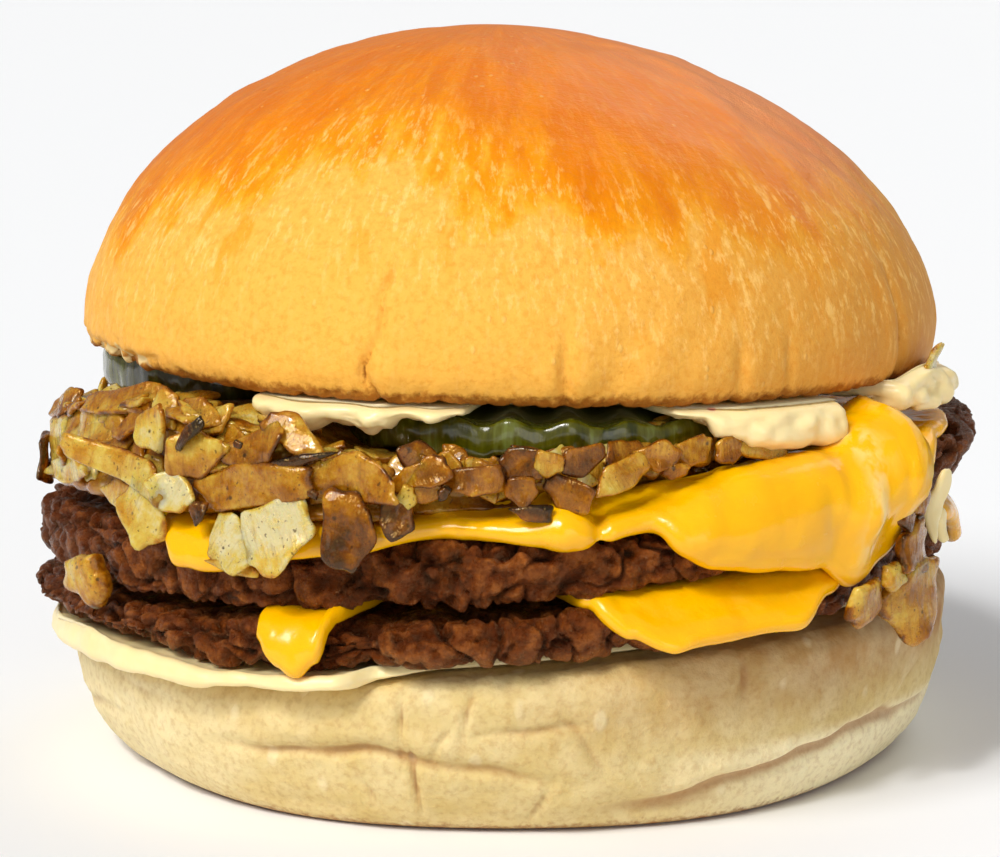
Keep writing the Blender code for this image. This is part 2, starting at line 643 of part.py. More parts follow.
def build():
    """Make every solid, and cut the onions back from what lies beside them."""
    remove_everything()
    bun = material("bun", (0.80, 0.52, 0.22), 0.55)
    beef = material("beef", (0.17, 0.06, 0.025), 0.5)
    melted = material("cheese", (0.88, 0.47, 0.01), 0.3)
    sauce = material("sauce", (0.90, 0.76, 0.46), 0.35)
    onion = material("onion", (0.55, 0.34, 0.10), 0.35)
    gherkin = material("pickle", (0.10, 0.11, 0.02), 0.3)
    bottom_bun = heel(bun)
    lower_sauce(sauce)
    lower = patty("patty_lower", LOWER_PATTY_RIM, LOWER_PATTY_UNDERCUT, LOWER_PATTY_LIFT,
                  lower_patty_bottom, lower_patty_top, LOWER_PATTY_SEED, beef)
    lower_slice = cheese("cheese_lower", LOWER_PATTY_RIM, lower_patty_top, (), LOWER_CHEESE_REACH,
                         LOWER_CHEESE_STEEPNESS, CHEESE_THICKNESS, LEVEL, melted)
    upper = patty("patty_upper", UPPER_PATTY_RIM, UPPER_PATTY_UNDERCUT, LEVEL,
                  upper_patty_bottom, upper_patty_top, UPPER_PATTY_SEED, beef)
    upper_slice = cheese("cheese_upper", UPPER_PATTY_RIM, upper_patty_top, FACE_RINGS, UPPER_CHEESE_REACH,
                         UPRIGHT, UPPER_CHEESE_THICKNESS, UPPER_CHEESE_FOLD, melted)
    pickles = [pickle(name, centre, half_size, gherkin) for name, centre, half_size in PICKLES]
    top_sauce = upper_sauce(sauce)
    top_bun = crown(bun)
    onion_heap([lower, upper, upper_slice, top_sauce, top_bun, *pickles], onion)
    slipped_onions([lower, upper, lower_slice, upper_slice, bottom_bun], onion)
    onion_drop([lower, upper, lower_slice], onion)


if __name__ == "__main__":
    build()
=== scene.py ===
"""The looks of a double cheeseburger: crusts, crags, melted cheese, fried onions, pickles and sauce.

Lengths are millimetres in the shape functions and metres in the meshes. The burger stands on Z = 0 with
its front towards -Y, and an azimuth is measured in degrees from the front towards +X.
"""

import math

import bpy
import numpy as np
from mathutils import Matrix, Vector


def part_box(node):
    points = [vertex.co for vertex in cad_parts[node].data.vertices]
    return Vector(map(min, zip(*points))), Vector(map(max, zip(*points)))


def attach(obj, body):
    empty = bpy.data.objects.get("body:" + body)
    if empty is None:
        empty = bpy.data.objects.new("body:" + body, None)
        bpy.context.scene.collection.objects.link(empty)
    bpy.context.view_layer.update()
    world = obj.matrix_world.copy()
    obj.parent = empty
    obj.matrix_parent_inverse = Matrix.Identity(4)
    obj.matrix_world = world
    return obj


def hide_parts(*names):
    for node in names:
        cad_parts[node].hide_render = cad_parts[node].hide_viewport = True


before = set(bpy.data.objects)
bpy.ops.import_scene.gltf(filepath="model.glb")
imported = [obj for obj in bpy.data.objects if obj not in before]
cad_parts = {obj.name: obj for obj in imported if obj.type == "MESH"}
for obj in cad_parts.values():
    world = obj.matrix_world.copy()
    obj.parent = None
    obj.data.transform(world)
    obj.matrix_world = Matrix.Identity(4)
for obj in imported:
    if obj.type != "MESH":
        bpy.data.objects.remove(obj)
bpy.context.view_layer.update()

bl_info = {
    "name": "Double cheeseburger",
    "version": (1, 0, 0),
    "blender": (4, 5, 0),
    "location": "View3D > Sidebar > Burger",
    "description": "Builds the finish of a double cheeseburger round its solids",
    "category": "Add Mesh",
}

MILLIMETRE = 0.001
BODY = "root"

# Heights of the layers: a height at the axis, a slope along X, and a curl of the right half
HEEL_TOP = (19.4, 0.085, -0.0008)
LOWER_PATTY_BOTTOM = (20.8, 0.085, -0.0008)
LOWER_PATTY_TOP = (25.8, 0.07, 0.0)
UPPER_PATTY_BOTTOM = (28.0, 0.07, 0.0)
UPPER_PATTY_TOP = (34.3, 0.045, 0.0014)
ONION_BOTTOM = (37.0, 0.045, 0.0014)
CROWN_FLOOR = (48.7, -0.022, 0.0)
HEEL_WIDEST = (15.5, 0.062, 0.0)

# Gaps between the layers inside and at the rim, and the distances between which the gap widens
GAP = 0.3
RIM_GAP = 0.6
RIM_GAP_ZONE = (44.0, 50.0)
# Distances from the axis between which a fold of cheese swells up
FOLD_ZONE = (46.0, 52.0)
PATTY_CORNER = 2.4
PATTY_THICKNESS = 6.0
# Rings on the under side of a patty, as shares of its radius
PATTY_RINGS = (0.0, 0.4, 0.7, 0.85, 0.93, 0.98)
# Powers of the curves that the buns are turned from: across and up
HEEL_POWERS = (2.32, 1.85)
HEEL_SHOULDER = 2.8
CROWN_POWERS = (1.944, 1.819)
CROWN_CUT_RADIUS = 51.6
CROWN_WIDEST = 4.0
CROWN_LEAN = 1.6
CROWN_TILT = 0.022
PICKLE_BOTTOM = 42.9
# How far the pickles' tops lie under the crown's cut face
PICKLE_DEPTH = 1.85
# The share of a pickle's size that is flat, inside its round rim
PICKLE_FLAT = 0.96
CRINKLE_PITCH = 6.5
CRINKLE_DEPTH = 0.38
ONION_FLOOR = 42.1

# Rim radius of a layer, or another size, at each (azimuth, value)
HEEL_BASE_RIM = (
    (-90, 46.8), (-62, 46.6), (-28, 49.4), (0, 48.2), (28, 49.4), (62, 47.0), (90, 47.8), (180, 47.5),
)
LOWER_PATTY_RIM = (
    (-100, 59.4), (-85, 60.8), (-65, 59.3), (-40, 58.2), (0, 57.8), (12, 56.5), (50, 56.0), (75, 55.0),
    (98, 55.0), (115, 56.5), (150, 58.0), (200, 58.5), (235, 57.5),
)
LOWER_PATTY_UNDERCUT = ((-105, 0.5), (-85, 3.2), (-62, 0.6), (0, 0.0), (180, 0.0))
LOWER_PATTY_LIFT = ((-105, 0.4), (-80, 1.3), (-58, 2.6), (-46, 1.5), (-34, 0.0), (0, 0.0), (200, 0.0))
UPPER_PATTY_RIM = (
    (-100, 58.6), (-85, 59.4), (-60, 58.6), (-20, 57.8), (18, 57.5), (30, 56.8), (55, 56.8), (75, 58.8),
    (98, 60.0), (125, 58.5), (180, 57.5), (225, 58.5),
)
UPPER_PATTY_UNDERCUT = ((-90, 0.0), (0, 0.0), (55, 0.0), (75, 4.2), (105, 4.8), (125, 0.5), (180, 0.0))
UPPER_PATTY_LIFT = (
    (-80, -0.4), (-45, -0.8), (-20, -0.9), (4, -1.0), (14, -0.2), (40, 0.0), (180, -0.4), (240, -0.4),
)
LOWER_CHEESE_REACH = (
    (-90, -4.0), (-60, -8.0), (-32, -9.0), (-30, -4.0), (-28, 2.2), (-25.5, 4.4), (-23.5, 5.4),
    (-21.5, 3.8), (-20, 0.0), (-18.8, -6.0), (-17.5, -11.0), (4, -11.0), (8.4, 0.0), (12.7, 4.6), (17, 7.4),
    (21.4, 6.6), (32, 7.0), (38, 3.6), (46, -1.0), (64, -3.0), (78, 2.0), (93, 8.0), (104, 3.0),
    (118, -3.0), (150, 4.0), (175, -3.0), (205, 4.0), (235, -3.0),
)
LOWER_CHEESE_STEEPNESS = (
    (-50, 88.0), (-5, 88.0), (12, 45.0), (45, 45.0), (70, 75.0), (180, 70.0), (250, 80.0),
)
LEVEL = ((0, 0.0), (180, 0.0))
UPRIGHT = ((0, 88.0), (180, 88.0))
UPPER_CHEESE_REACH = (
    (-90, -7.0), (-62, -6.0), (-46, -4.0), (-42, 0.8), (-38.5, 3.0), (-34, 3.3), (-26, 2.0), (-19, 1.4),
    (-7, -0.8), (3, 0.6), (9, 1.3), (15, 0.4), (22, 4.9), (29, 6.8), (36, 8.0), (41, 11.2), (46, 9.4),
    (54, 3.0), (64, 0.0), (90, -7.0), (120, -5.0), (135, 1.0), (150, 5.5), (167, 2.0), (182, -2.0),
    (204, 5.0), (228, 0.0), (250, -6.0),
)
UPPER_CHEESE_FOLD = (
    (-20, 0.2), (-13, 0.6), (-8, 2.4), (-2, 2.6), (3, 1.2), (6, 1.6), (10, 2.6), (20, 2.2), (33, 2.6),
    (42, 2.6), (47, 5.2), (52, 6.4), (57, 5.4), (62, 2.6), (72, 0.8), (90, 0.0), (180, 0.0),
)
LOWER_SAUCE_RIM = (
    (-90, 57.6), (-65, 59.2), (-45, 59.9), (-34, 59.2), (-29, 58.9), (-24, 59.6), (-19.5, 59.2),
    (-15.5, 55.0), (-8, 52.0), (20, 51.0), (60, 51.0), (100, 52.0), (130, 57.5), (160, 58.5), (190, 54.0),
    (225, 57.5),
)
UPPER_SAUCE_RIM = (
    (-60, 41.0), (-36, 41.0), (-33, 53.2), (-26, 54.8), (-20, 53.8), (-16, 54.9), (-12.5, 53.4),
    (-9.5, 54.2), (-6, 52.8), (-3.5, 42.0), (4, 40.0), (17, 40.0), (20.5, 53.2), (32, 55.6), (43.5, 55.6),
    (46, 44.0), (52, 46.0), (56, 56.0), (63, 57.4), (70, 57.0), (76, 54.0), (82, 46.0), (90, 41.0),
    (140, 41.0), (152, 53.6), (172, 54.4), (184, 42.0), (270, 41.0),
)
UPPER_SAUCE_CREEP = ((50, 0.0), (56, 1.2), (62, 2.6), (68, 2.2), (76, 0.4), (82, 0.0), (270, 0.0))
UPPER_SAUCE_DRIP = (
    (-60, 0.0), (-34, 0.2), (-31, 1.5), (-26, 2.7), (-22, 1.7), (-17, 2.4), (-15, 1.9), (-12.8, 0.4),
    (-9.5, 0.8), (-6, 0.1), (19, 0.0), (22.8, 0.5), (26.5, 2.5), (30.4, 3.6), (36, 4.0), (43.5, 4.2),
    (45.5, 1.0), (48, 0.0), (54, 0.4), (62, 1.6), (72, 1.2), (79, 0.6), (84, 0.0), (150, 0.4), (168, 3.0),
    (190, 0.2), (200, 0.0), (250, 0.0),
)
# Cross-section of a drip of the upper sauce: how far inside its rim, at each share of its depth
SAUCE_SECTION = (
    (3.4, 0.8), (2.4, 1.0), (1.2, 0.98), (0.35, 0.84), (0.0, 0.58), (0.15, 0.34), (0.7, 0.16), (1.8, 0.05),
)
ONION_RIM = (
    (-90, 58.4), (-72, 59.8), (-22, 59.4), (-8, 57.4), (12, 55.0), (24, 51.0), (34, 44.0), (60, 41.0),
    (110, 41.0), (135, 50.0), (180, 54.0), (215, 54.0), (245, 53.0),
)
ONION_TOP = (
    (-95, 42.1), (-80, 42.8), (-66, 44.8), (-50, 46.8), (-40, 47.0), (-28, 46.2), (-20, 43.4), (-14, 42.1),
    (90, 42.1), (180, 42.1), (250, 42.1),
)

# Height above the cut where the glaze of the crown ends
GLAZE_EDGE = (
    (-80, 13.0), (-62, 16.5), (-42, 21.0), (-30, 26.0), (-15, 26.5), (-6, 23.5), (1, 21.5), (7, 21.5),
    (11, 15.5), (14, 16.0), (17, 18.5), (23, 15.0), (27, 19.0), (30, 15.5), (38, 18.5), (50, 16.5),
    (75, 17.0), (100, 18.0), (140, 22.0), (180, 24.0), (220, 19.0), (250, 16.0),
)

# Marks on a turned surface: azimuth, height, length, width, slant and amount, where a groove is negative
HEEL_MARKS = (
    (-27, 9.4, 9.0, 0.8, 4, -0.7), (-27, 11.6, 9.0, 1.6, 4, 0.35), (-14, 9.3, 10.0, 0.7, -8, -0.7),
    (-14, 11.3, 10.0, 1.6, -8, 0.35), (-2, 8.2, 7.0, 0.8, -12, -0.5), (2, 12.9, 6.0, 0.7, 6, -0.5),
    (9, 10.6, 5.0, 0.6, -55, -0.45), (24, 4.9, 12.0, 0.9, 9, -0.9), (42, 7.2, 12.0, 0.9, 8, -1.0),
    (56, 7.9, 6.0, 0.9, -4, -0.9), (33, 7.6, 16.0, 1.6, 9, 0.5), (20, 2.9, 8.0, 0.8, 6, -0.5),
    (28.4, 17.6, 3.4, 0.9, 88, -0.7), (30.6, 17.2, 3.4, 1.6, 88, 0.35), (-12.8, 13.0, 4.0, 0.4, 88, -0.7),
    (-11.4, 6.2, 4.0, 0.4, 96, -0.8), (-5.0, 15.6, 3.5, 0.4, 80, -0.6), (-8.0, 11.6, 2.6, 0.4, 60, -0.5),
    (-17, 4.6, 2.0, 0.4, 120, -0.5), (3, 3.4, 2.6, 0.5, 60, -0.5), (62, 13.0, 5.0, 0.6, 35, -0.4),
    (75, 9.0, 14.0, 0.9, 8, -0.8), (75, 11.4, 14.0, 1.6, 8, 0.4), (110, 7.0, 16.0, 0.9, -6, -0.8),
    (128, 12.0, 9.0, 0.7, 8, -0.5), (150, 8.0, 16.0, 0.9, 7, -0.8), (150, 10.2, 16.0, 1.6, 7, 0.4),
    (176, 13.0, 5.0, 0.4, 85, -0.7), (182, 5.0, 10.0, 0.8, -5, -0.6), (205, 9.0, 14.0, 0.9, 5, -0.8),
    (228, 6.0, 14.0, 0.9, -6, -0.7), (236, 13.0, 5.0, 0.4, 92, -0.7), (250, 10.0, 12.0, 0.9, 8, -0.8),
    (250, 12.2, 12.0, 1.6, 8, 0.4), (-70, 7.0, 10.0, 0.9, 5, -0.5), (-52, 12.5, 8.0, 0.8, -6, -0.35),
)
CROWN_MARKS = (
    (-15.0, 62.4, 2.0, 0.3, 62, -0.7), (-15.6, 59.4, 2.0, 0.28, 110, -0.8),
    (-15.4, 57.0, 1.8, 0.28, 84, -0.7), (-17.0, 54.4, 1.8, 0.3, 62, -0.8),
    (-17.6, 52.0, 1.6, 0.35, 96, -1.0), (-16.6, 50.2, 1.8, 0.5, 110, -0.9),
    (-14.6, 52.0, 2.6, 1.2, 100, 0.4), (-13.8, 59.0, 4.0, 1.4, 92, 0.22), (6.4, 52.0, 4.0, 0.7, 90, -0.9),
    (8.4, 52.4, 4.2, 2.0, 90, 0.4), (4.4, 51.6, 3.4, 1.6, 92, 0.25), (12.8, 53.2, 4.4, 2.4, 62, -0.55),
    (21.0, 53.5, 4.0, 2.0, 70, -0.35), (28.2, 51.0, 4.0, 0.8, 88, -0.6), (30.4, 51.5, 4.0, 1.8, 88, 0.3),
    (35.6, 51.5, 3.6, 0.7, 90, -0.5), (59.2, 54.0, 7.0, 1.0, 92, -0.9), (56.0, 54.0, 7.0, 2.0, 92, 0.4),
    (80.0, 53.0, 5.0, 1.0, 86, -0.7), (101.0, 52.0, 5.0, 0.8, 94, -0.7), (124.0, 53.0, 6.0, 1.0, 84, -0.8),
    (152.0, 55.0, 6.0, 0.5, 96, -0.7), (171.0, 52.0, 4.0, 0.9, 90, -0.7), (196.0, 53.0, 5.0, 1.0, 86, -0.7),
    (221.0, 52.0, 4.0, 0.8, 96, -0.6), (246.0, 54.0, 6.0, 0.9, 88, -0.8),
    (-64.0, 50.0, 2.2, 0.7, 110, -0.6), (-50.0, 50.0, 1.6, 0.5, 100, -0.5),
    (52.0, 80.5, 12.0, 2.6, 24, 0.5), (64.0, 76.0, 12.0, 2.4, -30, -0.5),
)
CHEESE_MARKS = (
    (-22, 36.4, 7.0, 1.6, 8, 0.5), (-8, 37.4, 6.0, 1.6, -6, 0.5), (5.6, 36.6, 3.0, 2.4, 10, 1.7),
    (9.4, 36.6, 0.9, 3.2, 0, -1.0), (20, 34.8, 6.0, 1.7, 12, 0.7), (31, 33.6, 6.5, 1.7, 2, 0.7),
    (17.5, 37.6, 6.0, 1.3, 14, 0.35), (30, 39.5, 5.0, 0.8, -25, 0.45), (36.5, 35.0, 1.4, 3.6, 20, -0.5),
    (42, 36.0, 1.3, 6.0, -10, 0.9), (39, 38.5, 1.1, 6.0, -14, -0.5), (46, 40.0, 1.2, 6.5, -8, -0.7),
    (49, 39.0, 1.3, 6.5, -6, 0.9), (44, 43.0, 4.0, 1.0, 30, 0.5), (53, 41.0, 1.1, 5.5, -4, -0.5),
)

# Cut onion: azimuth, radius, height, width, length, roll, lean, browning and charring
HEAP_ONIONS = (
    (-74, 59.4, 37.1, 8.8, 6.0, -8, 0, 0.7, 0.22), (-67, 58.6, 39.6, 11.2, 7.4, 10, 0, 0.3, 0.05),
    (-63, 59.2, 37.3, 16.0, 3.6, 12, 0, 0.2, 0.05), (-56, 57.8, 43.8, 19.4, 5.8, 22, 25, 0.38, 0.12),
    (-53, 56.2, 46.8, 14.3, 4.4, 25, 45, 0.5, 0.15), (-43, 59.4, 44.9, 5.2, 5.6, 12, 10, 0.24, 0.05),
    (-39, 56.8, 46.4, 10.0, 4.8, 0, 30, 0.52, 0.1), (-37, 59.8, 45.0, 5.6, 1.9, 42, 10, 0.95, 1.0),
    (-36, 59.0, 42.6, 8.6, 5.6, 5, 8, 0.42, 0.12), (-29, 58.4, 44.2, 9.0, 5.2, 8, 15, 0.56, 0.2),
    (-24, 57.8, 45.8, 9.0, 4.2, -25, 30, 0.5, 0.1), (-23, 59.9, 43.2, 9.1, 1.5, 14, 5, 0.95, 1.0),
    (-47, 60.0, 40.2, 17.6, 4.2, -14, 5, 0.34, 0.3), (-39, 60.3, 38.2, 6.8, 5.4, -25, 8, 0.12, 0.1),
    (-35, 60.6, 36.6, 2.4, 3.0, -30, 0, 0.95, 1.0), (-29, 59.5, 39.8, 17.0, 5.4, 6, 4, 0.5, 0.16),
    (-17, 58.9, 41.6, 13.0, 6.2, -8, 6, 0.52, 0.18), (-44, 60.4, 35.2, 8.6, 6.8, -32, 8, 0.24, 0.12),
    (-25, 60.7, 34.9, 9.6, 8.4, 28, 10, 0.03, 0.03), (-31, 60.4, 33.4, 7.4, 6.6, -35, 8, 0.12, 0.05),
    (-31, 60.2, 31.0, 7.4, 2.0, -8, 0, 0.4, 0.4), (-17, 60.3, 36.0, 6.6, 9.0, -5, 8, 0.8, 0.25),
    (-12, 59.6, 37.6, 4.6, 5.0, -30, 6, 0.82, 0.3), (-10, 58.4, 41.4, 6.4, 4.6, -10, 6, 0.56, 0.35),
    (-49, 59.6, 36.9, 7.2, 3.6, -10, 0, 0.48, 0.1), (-9, 58.8, 42.3, 5.6, 3.6, 30, 6, 0.6, 0.3),
    (-11, 59.2, 39.9, 2.4, 2.8, 0, 0, 0.3, 0.1), (-4, 57.8, 41.7, 7.2, 3.8, -6, 6, 0.66, 0.2),
    (1, 57.2, 43.3, 4.9, 3.8, 0, 8, 0.8, 0.5), (4, 57.8, 43.4, 3.4, 3.2, 0, 6, 0.48, 0.2),
    (1, 58.0, 40.3, 3.8, 3.6, 0, 4, 0.76, 0.3), (2, 58.6, 38.2, 4.9, 2.0, -6, 0, 0.95, 1.0),
    (6, 57.4, 39.9, 5.6, 4.0, -15, 6, 0.7, 0.2), (12, 56.8, 41.6, 7.4, 3.8, 32, 6, 0.44, 0.15),
    (8, 56.2, 43.4, 5.2, 3.8, 0, 8, 0.72, 0.25), (17, 54.8, 43.4, 5.4, 3.8, -10, 8, 0.54, 0.1),
    (22, 54.2, 43.6, 4.8, 3.6, 0, 8, 0.5, 0.2), (27, 53.8, 43.4, 4.8, 3.6, 0, 6, 0.62, 0.2),
    (32, 53.4, 43.2, 7.9, 4.2, -25, 8, 0.32, 0.2), (19, 55.4, 41.6, 3.4, 2.0, 0, 0, 0.7, 0.3),
    (-7, 59.4, 40.4, 1.8, 1.6, 20, 0, 0.95, 1.0), (-30, 60.0, 44.6, 1.4, 1.0, 0, 0, 0.95, 1.0),
    (-21, 60.4, 39.8, 1.5, 1.2, 0, 0, 0.95, 1.0), (64, 55.8, 50.0, 8.0, 1.6, 24, 0, 0.05, 0.2),
)
RIGHT_ONIONS = (
    (51, 60.2, 36.6, 6.6, 5.0, 20, 0, 0.56, 0.15), (48, 60.4, 34.0, 4.6, 3.6, 0, 0, 0.75, 0.3),
    (50, 60.6, 30.6, 7.6, 6.6, 0, 0, 0.58, 0.15), (50, 60.6, 24.0, 10.6, 10.2, 10, 0, 0.46, 0.12),
    (42, 60.2, 25.4, 7.9, 5.4, 20, 0, 0.44, 0.1), (46, 60.6, 27.6, 4.0, 3.4, 0, 0, 0.3, 0.1),
)
LEFT_ONION = ((-55, 60.4, 25.4, 7.6, 6.6, 10, 0, 0.4, 0.3),)
# Sauce that was smeared on the side, in the same form
SMEARS = ((58, 58.8, 33.8, 2.8, 9.0, -14, 0, 0.0, 0.0), (61, 58.6, 31.0, 2.4, 4.6, 10, 0, 0.0, 0.0))
# The lowest that a strewn piece sits, round the heap
ONION_FOOT = (
    (-84, 38.4), (-60, 38.6), (-47, 38.4), (-30, 38.8), (-15, 40.4), (-9, 41.2), (3, 41.2), (10, 41.0),
    (14, 42.0), (21, 43.0), (36, 43.0), (130, 40.0), (262, 39.4),
)
# Strewn pieces: count, seed, first and last azimuth, and whether they lie on the heap
STREWN = ((76, 7, -80, 36, False), (76, 8, 128, 262, False), (36, 9, -78, -16, True),
          (46, 10, 140, 262, True))
# Kinds of cut onion: name, lowest and highest browning, and how often its corners are rounded
ONION_KINDS = (("onion_pale", 0.0, 0.4, 1), ("onion_amber", 0.4, 0.7, 2), ("onion_brown", 0.7, 1.0, 2))
BROWNING_COLUMN = 7
# Thickness of each kind of cut piece
PETAL_THICKNESS = 0.85
SLIPPED_THICKNESS = 1.7
CAUGHT_THICKNESS = 3.0
SMEAR_THICKNESS = 1.0
SMEAR_SOFTNESS = 5
# A cut piece: corners of its outline, points round it, rings on each face, and steps round its rim
CORNERS = 5
PIECE_SIDES = 45
PIECE_RINGS = 6
RIM_STEPS = 7
# The most that a small piece is thick, as a share of its width
THICKEST = 0.6

# Gherkin slices: node, centre and half sizes, seen from above
PICKLES = (
    ("pickle_front", (3.3, -35.0), (23.0, 17.0)),
    ("pickle_left", (-35.0, 11.0), (18.5, 23.0)),
    ("pickle_back", (10.0, 28.0), (23.0, 17.0)),
)

# How a pattern is stretched along X, Y and Z: a small share makes long marks
STREAKS = (1.0, 1.0, 0.4)
TALL_SPOTS = (1.0, 1.0, 0.6)
PICKLE_STREAKS = (1.0, 1.0, 0.12)
VEINS = (1.0, 0.14, 1.0)

FLOOR_HALF_SIZE = 60.0
FLOOR_COLOUR = (0.9, 0.915, 0.94)
SKY_COLOUR = (1.0, 0.99, 0.97)
SKY_STRENGTH = 0.3
# Soft lights: name, azimuth, elevation, spread, strength and colour
SUNS = (
    ("key", -42.0, 44.0, 28.0, 2.1, (1.0, 0.985, 0.96)),
    ("spark", -30.0, 50.0, 6.0, 0.8, (1.0, 0.985, 0.96)),
    ("front", 15.0, 12.0, 40.0, 0.5, (1.0, 0.985, 0.97)),
    ("back", 150.0, 40.0, 40.0, 0.5, (0.97, 0.98, 1.0)),
)
FOCAL_LENGTH = 99.29
SENSOR_WIDTH = 36.0
CAMERA_PLACE = (-0.00127, -0.350, 0.0946)
CAMERA_DIP = 9.2


# Numbers along and round a shape

def around(azimuth, points):
    """The smooth value at each azimuth, eased between (azimuth, value) points that close on themselves."""
    angles = np.array([point[0] for point in points] + [points[0][0] + 360.0])
    values = np.array([point[1] for point in points] + [points[0][1]])
    turned = (azimuth - angles[0]) % 360.0 + angles[0]
    before = np.clip(np.searchsorted(angles, turned, side="right") - 1, 0, len(points) - 1)
    share = (turned - angles[before]) / (angles[before + 1] - angles[before])
    share = share * share * (3.0 - 2.0 * share)
    return values[before] + (values[before + 1] - values[before]) * share


def smooth_step(low, high, value):
    """Rises smoothly from 0 at low to 1 at high."""
    share = np.clip((value - low) / (high - low), 0.0, 1.0)
    return share * share * (3.0 - 2.0 * share)


def tilted(layer, x):
    """Height of a layer: its height at the axis plus slope times x plus curl times x squared on the right."""
    middle, slope, curl = layer
    return middle + slope * x + curl * np.maximum(x, 0.0) ** 2


def columns(count, crowding=0.3):
    """Azimuths round the axis, crowded to the front: an even turn less a share of its sine."""
    turn = np.arange(count) * 2.0 * math.pi / count
    return np.degrees(turn - crowding * np.sin(turn))


def signed(azimuth):
    """Azimuths from 0 to 360, counted from -180 to 180 instead."""
    return azimuth - 360.0 * (azimuth > 180.0)


def stacked(*parts):
    """Numbers side by side as points."""
    return np.stack(np.broadcast_arrays(*parts), axis=-1)


def from_axis(grid):
    """Distance of each point from the axis."""
    return np.hypot(grid[..., 0], grid[..., 1])


def polar(radius, azimuth, height):
    """Points at a radius and azimuth round the axis. The height is a number or a function of x."""
    angle = np.radians(azimuth)
    x = radius * np.sin(angle)
    y = -radius * np.cos(angle)
    z = height(x) if callable(height) else height + 0.0 * x
    return np.stack([x, y, z], axis=-1)


def rising(layer, offset=0.0):
    """The height function of a layer, raised by an offset."""
    return lambda x: tilted(layer, x) + offset


# Noise

RANDOM = np.random.default_rng(20)
DIRECTIONS = RANDOM.normal(size=(1024, 3))
DIRECTIONS /= np.linalg.norm(DIRECTIONS, axis=1, keepdims=True)
PLACES = RANDOM.random((1024, 3))
MIXERS = (73856093, 19349663, 83492791, 1274126177)
WORD = 0xFFFFFFFF


def scramble(cell, seed):
    """A repeatable number from 0 to 1023 for each whole-number point: products joined bit by bit."""
    mixed = seed * MIXERS[3]
    for axis in range(3):
        mixed = mixed ^ cell[..., axis] * MIXERS[axis]
    mixed = mixed & WORD
    mixed = (mixed ^ (mixed >> 13)) * MIXERS[3] & WORD
    return (mixed ^ (mixed >> 16)) & 1023


def corners(reach):
    """Every whole-number step within a reach of 0 along three axes."""
    return [np.array(step) for step in np.ndindex(*reach)]


def noise(points, size, seed=0):
    """Gradient noise from about -1 to 1: slopes at the corners of cells of a size, eased between them."""
    place = points / size
    cell = np.floor(place).astype(np.int64)
    inside = place - cell
    ease = inside * inside * inside * (inside * (inside * 6.0 - 15.0) + 10.0)
    total = np.zeros(points.shape[:-1])
    for step in corners((2, 2, 2)):
        slope = DIRECTIONS[scramble(cell + step, seed)]
        weight = np.prod(np.where(step == 1, ease, 1.0 - ease), axis=-1)
        total += weight * np.sum(slope * (inside - step), axis=-1)
    return 1.6 * total


def fractal(points, size, seed=0, octaves=3):
    """Noise added at sizes that halve, each half as strong as the last."""
    return sum(noise(points, size / 2 ** k, seed + k) / 2 ** k for k in range(octaves))


def lumps(points, size, seed=0):
    """Round bumps that run into each other: a dome of height 1 over the nearest of strewn middles."""
    place = points / size
    cell = np.floor(place).astype(np.int64)
    nearest = np.full(points.shape[:-1], 9.0)
    for step in corners((3, 3, 3)):
        neighbour = cell + step - 1
        distance = np.sum((neighbour + PLACES[scramble(neighbour, seed)] - place) ** 2, axis=-1)
        nearest = np.minimum(nearest, distance)
    return np.sqrt(np.maximum(1.0 - 1.3 * nearest, 0.0))


def marks(azimuth, height, radius, table):
    """The sum of oval bumps and grooves on a turned surface, each a bell curve along its own two axes."""
    total = np.zeros(np.broadcast(azimuth, height).shape)
    for middle, level, length, width, slant, amount in table:
        u = np.radians((azimuth - middle + 180.0) % 360.0 - 180.0) * radius
        v = height - level
        turn = math.radians(slant)
        along = (u * math.cos(turn) + v * math.sin(turn)) / length
        across = (v * math.cos(turn) - u * math.sin(turn)) / width
        total += amount * np.exp(-along ** 2 - across ** 2)
    return total


# Grids and meshes

def normals(grid):
    """Outward directions of a grid whose rows rise and whose columns run round towards +X from the front."""
    around_it = np.roll(grid, -1, axis=-2) - np.roll(grid, 1, axis=-2)
    up = np.gradient(grid, axis=-3)
    outwards = np.cross(around_it, up)
    return outwards / np.maximum(np.linalg.norm(outwards, axis=-1, keepdims=True), 1e-9)


def pushed(grid, amount):
    """A grid moved along its normals by an amount at each point. Its two end rows stay."""
    amount = np.broadcast_to(amount, grid.shape[:-1]).copy()
    amount[..., 0, :] = 0.0
    amount[..., -1, :] = 0.0
    return grid + normals(grid) * amount[..., None]


def splined(rings, steps):
    """Rows between rings of points, on a cubic through them (Catmull-Rom), with some steps a gap."""
    rings = np.asarray(rings)
    padded = np.concatenate([rings[:1], rings, rings[-1:]])
    rows = []
    for place in range(len(rings) - 1):
        a, b, c, d = padded[place:place + 4]
        for step in range(steps[place]):
            t = step / steps[place]
            rows.append(0.5 * (2.0 * b + (c - a) * t + (2.0 * a - 5.0 * b + 4.0 * c - d) * t ** 2
                               + (3.0 * b - a - 3.0 * c + d) * t ** 3))
    return np.array(rows + [rings[-1]])


def flattened(values):
    """Values on grids (pieces, rows, columns), with each end row taken as the single point that it is."""
    inner = values[:, 1:-1].reshape(values.shape[0], -1, *values.shape[3:])
    return np.concatenate([values[:, :1, 0], inner, values[:, -1:, 0]], axis=1)


